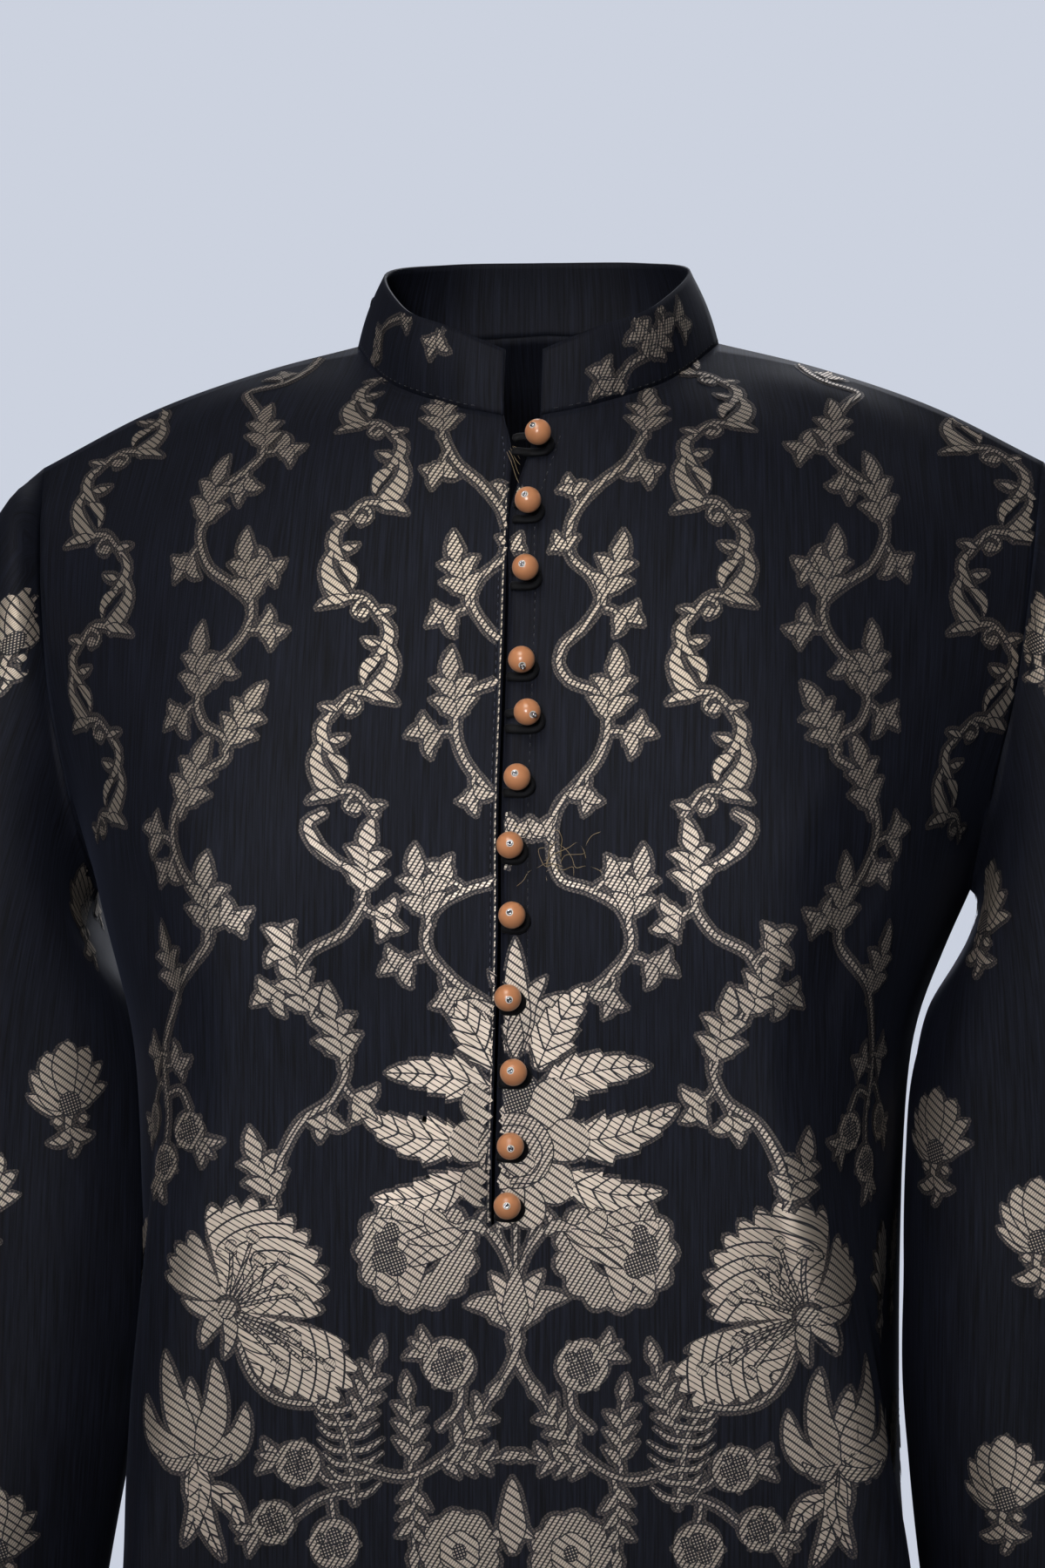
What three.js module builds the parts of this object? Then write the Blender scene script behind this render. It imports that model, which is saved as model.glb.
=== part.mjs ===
// Long shirt with a stand collar and a slit front closed by twelve pearls and loops.
// Millimetres. +Z up, the front faces -Y, the origin is midway between the two points
// where the neck seam meets the shoulder seams.
import * as THREE from 'three';

// Driving sizes
const WALL = 1.6;            // cloth thickness
const SEAM = 0.3;            // space between two sewn pieces
const NECK_HALF = 68;        // centre to the neck end of the shoulder seam
const SHOULDER_HALF = 190;   // centre to the sleeve end of the shoulder seam
const SHOULDER_DROP = 45;    // fall of the shoulder seam
const UNDERARM_HALF = 165;   // centre to the underarm
const UNDERARM_DROP = 205;   // shoulder level to the underarm
const WAIST_HALF = 141;      // half width between the sleeves
const HEM_HALF = 206;        // half width at the hem
const LENGTH = 960;          // shoulder level to the hem
const SLEEVE_LENGTH = 600;   // shoulder level to the cuff
const LEAN = -4;             // sideways set of the trunk below the chest
const SLIT_ROWS = 14;        // grid rows that the slit runs through
const SIDE_CLEAR = 3.2;      // middle of the sleeve wall to middle of the side wall
const SLIT_LIFT = 2.2;       // the loop edge of the slit stands this proud
const PEARL_D = 9.5;
const PEARL_HOLE_D = 1.7;
const PEARL_RISE = 8.3;      // cloth to pearl centre
const CORD_D = 2.2;          // rolled loop cord
const LOOP_FALL = 5.2;       // the loop's lower strand below the pearl centre
const LOOP_TOP = 1.6;        // the loop's upper strand above the pearl centre

// Grid: columns from the centre to the edge of half a panel, rows from neck to hem
const FRONT_COLUMNS = 18;
const FRONT_NECK = 8;
const BACK_COLUMNS = 15;
const BACK_NECK = 5;
const ROWS = 27;
const ARMHOLE_ROWS = 10;
const SLEEVE_ROWS = 20;
const COLLAR_ROWS = 3;

// Seams shared by the panels, from the top down
const neckFront = { at: [0, 3, 6, 8], points: [[6.8, -57, -32], [28, -50.5, -27], [54.5, -25, -15], [NECK_HALF, 10, 0]] };
const neckBack = { at: [0, 2.5, 4, 5], points: [[0, 50, 8], [40, 43, 5], [61, 27, 2], [NECK_HALF, 10, 0]] };
const shoulder = { at: [0, 3, 6.5, 10], points: [[NECK_HALF, 10, 0], [104, 10.5, -9], [148, 12, -24], [SHOULDER_HALF, 14, -SHOULDER_DROP]] };
const armholeFront = {
  at: [0, 2, 4, 6, 8, 9, 10],
  points: [[SHOULDER_HALF, 14, -SHOULDER_DROP], [187.5, -8, -68], [184, -24, -98], [179, -33, -132], [172, -30, -166],
    [168.5, -18, -187], [UNDERARM_HALF, 5, -UNDERARM_DROP]],
};
const armholeBack = {
  at: [0, 2, 4, 6, 8, 9, 10],
  points: [[SHOULDER_HALF, 14, -SHOULDER_DROP], [187.5, 32, -68], [184, 48, -99], [179, 55, -134], [172, 44, -168],
    [168.5, 28, -188], [UNDERARM_HALF, 5, -UNDERARM_DROP]],
};
const side = {
  at: [10, 11, 12, 13, 14, 16, 18, 20, 22, 24, 27],
  points: [[UNDERARM_HALF, 5, -UNDERARM_DROP], [155.5, 6, -228], [146.5, 7, -254], [142, 8, -284], [WAIST_HALF, 9, -314],
    [WAIST_HALF - 1, 9.5, -374], [WAIST_HALF, 10, -440], [147, 10.5, -520], [163, 11, -620], [182, 12, -750],
    [HEM_HALF, 13, -LENGTH]],
};

// Front sections. slit: half gap, depth, height at the slit; line: where the slit runs; then points
// across to the crest of the big side fold, the turn behind it and the valley before the side seam.
// swing moves the crest outward on the viewer's right and inward on the left.
const FRONT_STATIONS = [0, 3, 6, 9, 11.5, 14.5, 18];
const frontSections = [
  { row: 1, line: 0.2, swing: 0, slit: [3.1, -66, -46], inner: [30, -62, -41], mid: [58, -44, -30], crest: [79, -18, -18], turn: [108, -11, -20], valley: [148, -3, -36] },
  { row: 2, line: -2.4, swing: 0, slit: [0.5, -76, -64], inner: [33, -73, -58], mid: [62, -59, -46], crest: [87, -39, -35], turn: [114, -27, -36], valley: [150, -15, -49] },
  { row: 4, line: -2.3, swing: 0, slit: [0.5, -92, -100], inner: [36, -91, -95], mid: [70, -84, -86], crest: [98, -70, -76], turn: [122, -57, -73], valley: [153, -41, -81] },
  { row: 6, line: -2.0, swing: 0, slit: [0.5, -105, -140], inner: [40, -108, -137], mid: [80, -106, -131], crest: [108, -95, -124], turn: [130, -79, -120], valley: [156, -58, -122] },
  { row: 8, line: -1.4, swing: 0, slit: [0.5, -115, -178], inner: [42, -119, -176], mid: [84, -122, -172], crest: [112, -113, -167], turn: [133, -95, -163], valley: [155, -66, -162] },
  { row: 10, line: 0.2, swing: 0, slit: [0.5, -120, -222], inner: [44, -124, -220], mid: [86, -127, -217], crest: [110, -121, -214], turn: [132, -102, -211], valley: [151, -62, -207] },
  { row: 12, line: 0, swing: 0, slit: [0.5, -120, -270], inner: [42, -122, -269], mid: [82, -124, -267], crest: [101, -121, -266], turn: [121, -103, -264], valley: [138, -62, -260] },
  { row: 14, line: -0.8, swing: 1, slit: [0.5, -120, -321], inner: [44, -121, -321], mid: [90, -122, -320], crest: [109, -119.5, -319], turn: [125, -102, -318], valley: [134.5, -64, -316] },
  { row: 16, line: -0.8, swing: 3, slit: [0.5, -120.5, -378], inner: [47, -120.5, -378], mid: [99, -120, -378], crest: [121, -117.5, -378], turn: [131, -101, -377], valley: [133, -66, -376] },
  { row: 18, line: -0.8, swing: 5, slit: [0.5, -121, -442], inner: [51, -120.5, -442], mid: [109, -118, -442], crest: [133, -115.5, -442], turn: [138, -99, -442], valley: [133.5, -66, -441] },
  { row: 20, line: 0, swing: 5, slit: [0.5, -122, -522], inner: [56, -122, -522], mid: [118, -118, -522], crest: [145, -114, -522], turn: [151, -97, -522], valley: [140.5, -64, -521] },
  { row: 22, line: 0, swing: 4, slit: [0.5, -124, -622], inner: [62, -125, -622], mid: [130, -118, -622], crest: [160, -114, -622], turn: [168, -95, -622], valley: [157, -60, -621] },
  { row: 24, line: 0, swing: 3, slit: [0.5, -126, -752], inner: [70, -129, -752], mid: [144, -118, -752], crest: [178, -114, -752], turn: [187, -93, -752], valley: [176, -56, -751] },
  { row: 27, line: 0, swing: 2, slit: [0.5, -129, -LENGTH], inner: [80, -134, -LENGTH], mid: [162, -119, -LENGTH], crest: [202, -114, -LENGTH], turn: [213, -90, -LENGTH], valley: [200, -52, -LENGTH] },
];

// Back sections, with two soft hanging folds on each half below the waist
const BACK_STATIONS = [0, 2.5, 5, 8, 11, 13, 15];
const backSections = [
  { row: 1, centre: [0, 61, -8], inner: [38, 58, -9], mid: [71, 38, -10], blade: [100, 28, -16], turn: [140, 27, -31], near: [164, 26, -44] },
  { row: 2, centre: [0, 70, -28], inner: [38, 69, -28], mid: [74, 57, -29], blade: [106, 48, -34], turn: [142, 42, -46], near: [165, 37, -57] },
  { row: 4, centre: [0, 82, -70], inner: [42, 83, -70], mid: [84, 77, -72], blade: [122, 68, -78], turn: [153, 59, -87], near: [170, 53, -94] },
  { row: 6, centre: [0, 88, -118], inner: [45, 91, -118], mid: [92, 87, -120], blade: [130, 77, -124], turn: [156, 68, -128], near: [169, 62, -131] },
  { row: 8, centre: [0, 88, -165], inner: [46, 92, -165], mid: [93, 88, -166], blade: [130, 76, -167], turn: [153, 63, -168], near: [163, 54, -168] },
  { row: 10, centre: [0, 84, -215], inner: [46, 88, -215], mid: [92, 83, -214], blade: [128, 67, -211], turn: [149, 44, -208], near: [159, 26, -206] },
  { row: 12, centre: [0, 75, -268], inner: [46, 78, -267], mid: [89, 73, -266], blade: [119, 57, -263], turn: [138, 34, -259], near: [144, 20, -257] },
  { row: 14, centre: [0, 72, -321], inner: [46, 76, -321], mid: [89, 70, -320], blade: [118, 56, -319], turn: [135, 34, -317], near: [140, 21, -316] },
  { row: 18, centre: [0, 82, -443], inner: [48, 93, -443], mid: [90, 77, -443], blade: [120, 66, -442], turn: [137, 38, -441], near: [141, 23, -441] },
  { row: 22, centre: [0, 90, -623], inner: [57, 105, -623], mid: [104, 84, -623], blade: [140, 76, -622], turn: [160, 42, -621], near: [164, 25, -621] },
  { row: 27, centre: [0, 100, -LENGTH], inner: [72, 121, -LENGTH], mid: [130, 95, -LENGTH], blade: [176, 88, -LENGTH], turn: [204, 46, -LENGTH], near: [208, 28, -LENGTH] },
];

// Sleeve rings: outer and inner ends of the ring, its middle depth and half depth. away is how far
// the viewer's left sleeve hangs out from the right one's place
const sleeveRings = [
  { row: 1, outer: [198, -53], inner: [168.4, -209], depth: 10, half: 48, away: 0 },
  { row: 2, outer: [207, -66], inner: [168.6, -215.5], depth: 8, half: 50, away: 0 },
  { row: 4, outer: [225, -104], inner: [162.5, -231], depth: 5, half: 52, away: 0 },
  { row: 6, outer: [240, -148], inner: [151, -250], depth: 2, half: 53, away: 0 },
  { row: 8, outer: [251, -196], inner: [143, -274], depth: -2, half: 54, away: 0 },
  { row: 10, outer: [258, -248], inner: [140, -302], depth: -4, half: 54, away: 0 },
  { row: 12, outer: [261, -303], inner: [139.5, -340], depth: -6, half: 53, away: 0 },
  { row: 14, outer: [261, -366], inner: [141, -391], depth: -8, half: 51, away: 3 },
  { row: 16, outer: [260, -440], inner: [148, -453], depth: -10, half: 49, away: 8 },
  { row: 18, outer: [261, -520], inner: [159, -526], depth: -12, half: 46, away: 10 },
  { row: 20, outer: [264, -SLEEVE_LENGTH], inner: [173, -SLEEVE_LENGTH], depth: -15, half: 43, away: 11 },
];

// Long soft folds down a sleeve: turn round it (0 outer, 90 front), drift, width, depth and rows
const sleeveFolds = [
  { turn: 58, drift: -46, width: 20, depth: -5, from: 1, to: 13 },
  { turn: 118, drift: -30, width: 18, depth: -4, from: 5, to: 19 },
  { turn: 262, drift: 34, width: 24, depth: -5, from: 2, to: 15 },
  { turn: 330, drift: -24, width: 22, depth: 4, from: 8, to: 20 },
];

// Upper edge of the collar, centre front to centre back
const collarTop = {
  at: [0, 3, 6, 8, 10.5, 13],
  points: [[6.8, -50, -7.5], [27, -44, 1.5], [47.5, -27, 11.5], [57.5, 7, 27], [37, 40, 34.5], [0, 49, 36]],
};

// Pearls: place on the front and where the drilled hole points (sideways, upward)
const pearls = [
  { x: 7.0, z: -43.5, holeX: -0.45, holeZ: 0.6 },
  { x: 4.7, z: -68.2, holeX: -0.2, holeZ: 0.42 },
  { x: 4.8, z: -92.3, holeX: -0.2, holeZ: 0.24 },
  { x: 4.8, z: -124.7, holeX: 0.15, holeZ: -0.55 },
  { x: 7.6, z: -143.1, holeX: 0.6, holeZ: -0.25 },
  { x: 4.6, z: -165.4, holeX: -0.1, holeZ: 0.3 },
  { x: 2.4, z: -188.4, holeX: 0.1, holeZ: 0.15 },
  { x: 3.4, z: -212.2, holeX: -0.1, holeZ: 0.25 },
  { x: 1.8, z: -240.3, holeX: 0.2, holeZ: -0.1 },
  { x: 3.6, z: -266.0, holeX: -0.15, holeZ: 0.2 },
  { x: 2.4, z: -291.7, holeX: 0.1, holeZ: -0.1 },
  { x: 1.2, z: -312.5, holeX: 0.05, holeZ: 0.1 },
];

const cloth = { color: '#101420', roughness: 0.72, metalness: 0 };
const pearlFinish = { color: '#d9824f', roughness: 0.24, metalness: 0 };

const vec = (p) => new THREE.Vector3(p[0], p[1], p[2]);

// Smooth curve through points placed at rising stations, read at t
function along(at, points, t) {
  let i = 0;
  while (i < at.length - 2 && t > at[i + 1]) i += 1;
  const secant = (k, a) => (points[k + 1][a] - points[k][a]) / (at[k + 1] - at[k]);
  const slope = (k, a) => {
    if (k === 0) return secant(0, a);
    if (k === at.length - 1) return secant(k - 1, a);
    const before = at[k] - at[k - 1];
    const after = at[k + 1] - at[k];
    return (after * secant(k - 1, a) + before * secant(k, a)) / (before + after);
  };
  const h = at[i + 1] - at[i];
  const s = (t - at[i]) / h;
  return points[i].map((_, a) =>
    (2 * s ** 3 - 3 * s ** 2 + 1) * points[i][a] + (s ** 3 - 2 * s ** 2 + s) * h * slope(i, a)
    + (-2 * s ** 3 + 3 * s ** 2) * points[i + 1][a] + (s ** 3 - s ** 2) * h * slope(i + 1, a));
}

const easeStep = (t) => {
  const c = Math.min(1, Math.max(0, t));
  return c * c * (3 - 2 * c);
};
const leaned = (p) => [p[0] + LEAN * easeStep((-100 - p[2]) / 200), p[1], p[2]];

// Half a panel: a curve across each section, then a curve down each column
function halfPanel(columns, stations, sections, topRow, edge) {
  const rows = [0, ...sections.map((s) => s.row)];
  const across = [topRow, ...sections.map((s) => {
    const line = [];
    for (let c = 0; c <= columns; c += 1) line.push(along(stations, [...s.points, edge(s.row)], c));
    return line;
  })];
  const grid = [];
  for (let r = 0; r <= ROWS; r += 1) {
    const line = [];
    for (let c = 0; c <= columns; c += 1) line.push(along(rows, across.map((a) => a[c]), r));
    line[columns] = edge(r);
    grid.push(line);
  }
  return grid;
}

const edgeOf = (armhole) => (r) => (r <= ARMHOLE_ROWS ? along(armhole.at, armhole.points, r) : along(side.at, side.points, r));
const topOf = (neck, neckColumns, columns) => {
  const line = [];
  for (let c = 0; c <= columns; c += 1) {
    line.push(c <= neckColumns ? along(neck.at, neck.points, c) : along(shoulder.at, shoulder.points, c - neckColumns));
  }
  return line;
};

function frontHalf(handed) {
  const sections = frontSections.map((s) => {
    const swing = s.swing * handed;
    const shift = (p, part) => [p[0] + swing * part, p[1], p[2]];
    return {
      row: s.row,
      points: [[s.slit[0] + handed * s.line, s.slit[1], s.slit[2]], s.inner, shift(s.mid, 0.7), shift(s.crest, 1), shift(s.turn, 1), shift(s.valley, 0.4)],
    };
  });
  const half = halfPanel(FRONT_COLUMNS, FRONT_STATIONS, sections, topOf(neckFront, FRONT_NECK, FRONT_COLUMNS), edgeOf(armholeFront));
  return half.map((line) => line.map((p) => leaned([p[0] * handed, p[1], p[2]])));
}

function backHalf(handed) {
  const sections = backSections.map((s) => ({ row: s.row, points: [s.centre, s.inner, s.mid, s.blade, s.turn, s.near] }));
  const half = halfPanel(BACK_COLUMNS, BACK_STATIONS, sections, topOf(neckBack, BACK_NECK, BACK_COLUMNS), edgeOf(armholeBack));
  return half.map((line) => line.map((p) => leaned([p[0] * handed, p[1], p[2]])));
}

// Grids run left to right and downward as seen from outside the cloth
const frontLeft = frontHalf(-1);
const frontRight = frontHalf(1);
const frontGrid = frontLeft.map((line, r) => [...[...line].reverse(), ...frontRight[r]].map(vec));
const backLeft = backHalf(-1);
const backRight = backHalf(1);
const backGrid = backRight.map((line, r) => [...[...line].reverse(), ...backLeft[r].slice(1)].map(vec));

// How far out the side of the trunk reaches at a depth and height
const sideReach = (y, z) => {
  let r = ARMHOLE_ROWS;
  while (r < ROWS - 1 && along(side.at, side.points, r + 0.5)[2] > z) r += 0.5;
  const [a, b] = [along(side.at, side.points, r), along(side.at, side.points, r + 0.5)];
  const x = a[0] + (b[0] - a[0]) * Math.min(1, Math.max(0, (z - a[2]) / (b[2] - a[2])));
  return x - (y < 10 ? 0.0012 : 0.004) * (y - 10) ** 2;
};

// One sleeve: its first ring is the armhole, front edge then back edge. Where it hangs against the
// side of the trunk it lies flat along it
function sleeveGrid(handed) {
  const turns = [];
  const first = [];
  for (let r = ARMHOLE_ROWS; r >= 0; r -= 1) {
    turns.push(r / ARMHOLE_ROWS * 180);
    first.push(along(armholeFront.at, armholeFront.points, r));
  }
  for (let r = 1; r < ARMHOLE_ROWS; r += 1) {
    turns.push(360 - r / ARMHOLE_ROWS * 180);
    first.push(along(armholeBack.at, armholeBack.points, r));
  }
  const rows = [0, ...sleeveRings.map((s) => s.row)];
  const rings = [first, ...sleeveRings.map((s) => turns.map((turn) => {
    const a = turn * Math.PI / 180;
    const folds = sleeveFolds.reduce((sum, f) => {
      const span = Math.min(1, Math.max(0, (s.row - f.from) / (f.to - f.from)));
      const away = ((turn - f.turn - f.drift * span + 540) % 360) - 180;
      const fade = Math.sin(Math.PI * span);
      return sum + f.depth * fade * Math.exp(-((away / f.width) ** 2));
    }, 0);
    const reach = 1 + folds / s.half;
    const mid = [(s.outer[0] + s.inner[0]) / 2, (s.outer[1] + s.inner[1]) / 2];
    const out = [(s.outer[0] - s.inner[0]) / 2, (s.outer[1] - s.inner[1]) / 2];
    const y = s.depth - s.half * Math.sin(a) * reach;
    const z = mid[1] + out[1] * Math.cos(a) * reach;
    const x = mid[0] + out[0] * Math.cos(a) * reach;
    const clear = s.row < 3 ? 0 : sideReach(y, z) + SIDE_CLEAR;
    return [Math.max(x, clear) + (handed < 0 ? s.away : 0), y, z];
  }))];
  const grid = [];
  for (let r = 0; r <= SLEEVE_ROWS; r += 1) {
    const line = turns.map((_, c) => along(rows, rings.map((ring) => ring[c]), r))
      .map((p) => vec(leaned([p[0] * handed, p[1], p[2]])));
    grid.push(handed > 0 ? line : [line[0], ...line.slice(1).reverse()]);
  }
  return grid;
}

// Collar: its lower edge is the neck seam, from the viewer's right front end round the back
function collarGrid() {
  const half = [];
  for (let s = 0; s <= FRONT_NECK + BACK_NECK; s += 1) {
    const low = s <= FRONT_NECK ? along(neckFront.at, neckFront.points, s) : along(neckBack.at, neckBack.points, FRONT_NECK + BACK_NECK - s);
    half.push({ low, high: along(collarTop.at, collarTop.points, s) });
  }
  const grid = [];
  for (let r = 0; r <= COLLAR_ROWS; r += 1) {
    const up = 1 - r / COLLAR_ROWS;
    const bulge = 1.2 * Math.sin(Math.PI * up);
    const line = half.map(({ low, high }) => {
      const p = low.map((v, a) => v + (high[a] - v) * up);
      const away = Math.hypot(p[0], p[1]) || 1;
      return [p[0] + bulge * p[0] / away, p[1] + bulge * p[1] / away, p[2]];
    });
    const left = line.map((p) => [-p[0], p[1], p[2]]);
    grid.push([...line, ...[...left].reverse().slice(1)].map(vec));
  }
  return grid;
}

// Outward normals of a grid, from the cells that are kept
function gridNormals(grid, keep, closed) {
  const normals = grid.map((line) => line.map(() => new THREE.Vector3()));
  const columns = grid[0].length;
  for (let r = 0; r < grid.length - 1; r += 1) {
    for (let c = 0; c < (closed ? columns : columns - 1); c += 1) {
      if (!keep(r, c)) continue;
      const d = (c + 1) % columns;
      const down = grid[r + 1][c].clone().add(grid[r + 1][d]).sub(grid[r][c]).sub(grid[r][d]);
      const over = grid[r][d].clone().add(grid[r + 1][d]).sub(grid[r][c]).sub(grid[r + 1][c]);
      const n = down.cross(over);
      for (const [a, b] of [[r, c], [r, d], [r + 1, c], [r + 1, d]]) normals[a][b].add(n.clone().normalize());
    }
  }
  normals.forEach((line) => line.forEach((n) => n.normalize()));
  return normals;
}

const always = () => true;
const outsideSlit = (r, c) => !(c === FRONT_COLUMNS && r < SLIT_ROWS);
const panels = {
  front: { grid: frontGrid, keep: outsideSlit, closed: false },
  back: { grid: backGrid, keep: always, closed: false },
  sleeve_left: { grid: sleeveGrid(-1), keep: always, closed: true },
  sleeve_right: { grid: sleeveGrid(1), keep: always, closed: true },
  collar: { grid: collarGrid(), keep: always, closed: false },
};

// Point and outward direction on the front at a place seen from the front
function onFront(x, z) {
  for (let r = 0; r < ROWS; r += 1) {
    for (let c = 0; c < frontGrid[0].length - 1; c += 1) {
      const q = [frontGrid[r][c], frontGrid[r][c + 1], frontGrid[r + 1][c + 1], frontGrid[r + 1][c]];
      for (const [i, j, k] of [[0, 1, 2], [0, 2, 3]]) {
        const [a, b, d] = [q[i], q[j], q[k]];
        const area = (b.x - a.x) * (d.z - a.z) - (d.x - a.x) * (b.z - a.z);
        const v = ((x - a.x) * (d.z - a.z) - (d.x - a.x) * (z - a.z)) / area;
        const w = ((b.x - a.x) * (z - a.z) - (x - a.x) * (b.z - a.z)) / area;
        if (v < -1e-6 || w < -1e-6 || v + w > 1 + 1e-6) continue;
        const point = a.clone().multiplyScalar(1 - v - w).addScaledVector(b, v).addScaledVector(d, w);
        const normal = b.clone().sub(a).cross(d.clone().sub(a)).normalize();
        if (normal.y > 0) normal.negate();
        return { point, normal };
      }
    }
  }
  return null;
}
const placeOn = (x, z, height) => {
  const { point } = onFront(x, z);
  const tilt = onFront(x + 6, z).point.sub(onFront(x, z - 6).point);
  const across = onFront(x + 6, z).point.sub(point);
  const normal = tilt.cross(across).normalize();
  if (normal.y > 0) normal.negate();
  return point.addScaledVector(normal, height);
};
const slitEdge = (z) => {
  let r = 0;
  while (r < ROWS - 1 && frontGrid[r + 1][FRONT_COLUMNS].z > z) r += 1;
  const a = frontGrid[r][FRONT_COLUMNS];
  const b = frontGrid[r + 1][FRONT_COLUMNS];
  return a.x + (b.x - a.x) * (z - a.z) / (b.z - a.z);
};

// Loops and pearls lie on the front's own points
const trimPlaces = pearls.map((p) => {
  const high = p.z + LOOP_TOP;
  const low = p.z - LOOP_FALL;
  const middle = (high + low) / 2;
  const radius = (high - low) / 2;
  const height = WALL / 2 + SEAM + CORD_D / 2;
  const bow = p.x + 0.6;
  const starts = [slitEdge(high) + 0.5, slitEdge(low) + 0.5];
  const flat = [[starts[0], high], [(starts[0] + bow) / 2, high]];
  for (let k = 0; k <= 6; k += 1) {
    const a = Math.PI / 2 - (k / 6) * Math.PI;
    flat.push([bow + radius * Math.cos(a), middle + radius * Math.sin(a)]);
  }
  flat.push([(starts[1] + bow) / 2, low], [starts[1], low]);
  return {
    loop: flat.map(([x, z]) => placeOn(x, z, height)),
    pearl: placeOn(p.x, p.z, PEARL_RISE),
    hole: new THREE.Vector3(p.holeX, -Math.sqrt(1 - p.holeX ** 2 - p.holeZ ** 2), p.holeZ),
  };
});

// The loop edge of the slit stands proud of the pearl edge
for (let r = 1; r < SLIT_ROWS; r += 1) {
  frontGrid[r][FRONT_COLUMNS].y -= SLIT_LIFT * (r === 1 ? 0.8 : 1);
}

// Sewn pieces share one direction at each seam point
for (const panel of Object.values(panels)) panel.normals = gridNormals(panel.grid, panel.keep, panel.closed);
const shared = new Map();
const placeKey = (p) => [p.x, p.y, p.z].map((v) => v.toFixed(3)).join();
for (const panel of Object.values(panels)) {
  panel.grid.forEach((line, r) => line.forEach((p, c) => {
    if (!shared.has(placeKey(p))) shared.set(placeKey(p), []);
    shared.get(placeKey(p)).push(panel.normals[r][c]);
  }));
}
for (const list of shared.values()) {
  if (list.length < 2) continue;
  const mean = list.reduce((sum, n) => sum.add(n), new THREE.Vector3()).normalize();
  list.forEach((n) => n.copy(mean));
}
// Round each armhole the direction turns evenly, so that the two rims stay apart under the arm
for (const { grid, normals } of [panels.sleeve_left, panels.sleeve_right]) {
  for (let pass = 0; pass < 4; pass += 1) {
    const ring = normals[0].map((n) => n.clone());
    ring.forEach((n, c) => {
      const even = n.clone().multiplyScalar(2).add(ring[(c + 1) % ring.length]).add(ring[(c + ring.length - 1) % ring.length]).normalize();
      shared.get(placeKey(grid[0][c])).forEach((m) => m.copy(even));
    });
  }
}

// Draws each sewn edge back by half the seam space, square to the seam line
function drawBack(panel, seam, seamLine) {
  const { grid, normals, shifts } = panel;
  const line = seamLine || seam.map(({ at: [r, c] }) => grid[r][c]);
  seam.forEach(({ at: [r, c], inside: [ir, ic] }) => {
    const k = line.findIndex((p, i) => p.distanceTo(grid[r][c]) < 1e-6 && (i > 0 || !seamLine || !seamLine.ring));
    const run = line[Math.min(line.length - 1, k + 1)].clone().sub(line[Math.max(0, k - 1)]);
    const into = run.cross(normals[r][c]).normalize();
    if (into.dot(grid[ir][ic].clone().sub(grid[r][c])) < 0) into.negate();
    shifts.push({ r, c, into });
  });
}
for (const panel of Object.values(panels)) panel.shifts = [];
const span = (a, b) => Array.from({ length: b - a + 1 }, (_, i) => a + i);
const wideFront = 2 * FRONT_COLUMNS + 1;
const wideBack = 2 * BACK_COLUMNS;
const neckLine = panels.collar.grid[COLLAR_ROWS].map((p) => p.clone());
const armholeLine = (sleeve) => {
  const ring = sleeve.grid[0].map((p) => p.clone());
  const line = [ring[ring.length - 1], ...ring, ring[0]];
  line.ring = true;
  return line;
};
const topSeam = (a, b) => span(a, b).map((c) => ({ at: [0, c], inside: [1, c] }));
drawBack(panels.front, topSeam(0, FRONT_COLUMNS - FRONT_NECK));
drawBack(panels.front, topSeam(FRONT_COLUMNS - FRONT_NECK, FRONT_COLUMNS), neckLine);
drawBack(panels.front, topSeam(FRONT_COLUMNS + 1, FRONT_COLUMNS + 1 + FRONT_NECK), neckLine);
drawBack(panels.front, topSeam(FRONT_COLUMNS + 1 + FRONT_NECK, wideFront));
drawBack(panels.back, topSeam(0, BACK_COLUMNS - BACK_NECK));
drawBack(panels.back, topSeam(BACK_COLUMNS - BACK_NECK, BACK_COLUMNS + BACK_NECK), neckLine);
drawBack(panels.back, topSeam(BACK_COLUMNS + BACK_NECK, wideBack));
const sides = [
  [panels.front, 0, 1, panels.sleeve_left], [panels.front, wideFront, wideFront - 1, panels.sleeve_right],
  [panels.back, 0, 1, panels.sleeve_right], [panels.back, wideBack, wideBack - 1, panels.sleeve_left],
];
for (const [panel, edge, next, sleeve] of sides) {
  drawBack(panel, span(0, ARMHOLE_ROWS).map((r) => ({ at: [r, edge], inside: [r, next] })), armholeLine(sleeve));
  drawBack(panel, span(ARMHOLE_ROWS, ROWS).map((r) => ({ at: [r, edge], inside: [r, next] })));
}
for (const panel of [panels.sleeve_left, panels.sleeve_right]) {
  drawBack(panel, span(0, 2 * ARMHOLE_ROWS - 1).map((c) => ({ at: [0, c], inside: [1, c] })), armholeLine(panel));
}
drawBack(panels.collar, span(0, 2 * (FRONT_NECK + BACK_NECK)).map((c) => ({ at: [COLLAR_ROWS, c], inside: [COLLAR_ROWS - 1, c] })), neckLine);
for (const { grid, shifts } of Object.values(panels)) {
  shifts.forEach(({ r, c, into }) => grid[r][c].addScaledVector(into, SEAM / 2));
}

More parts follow.
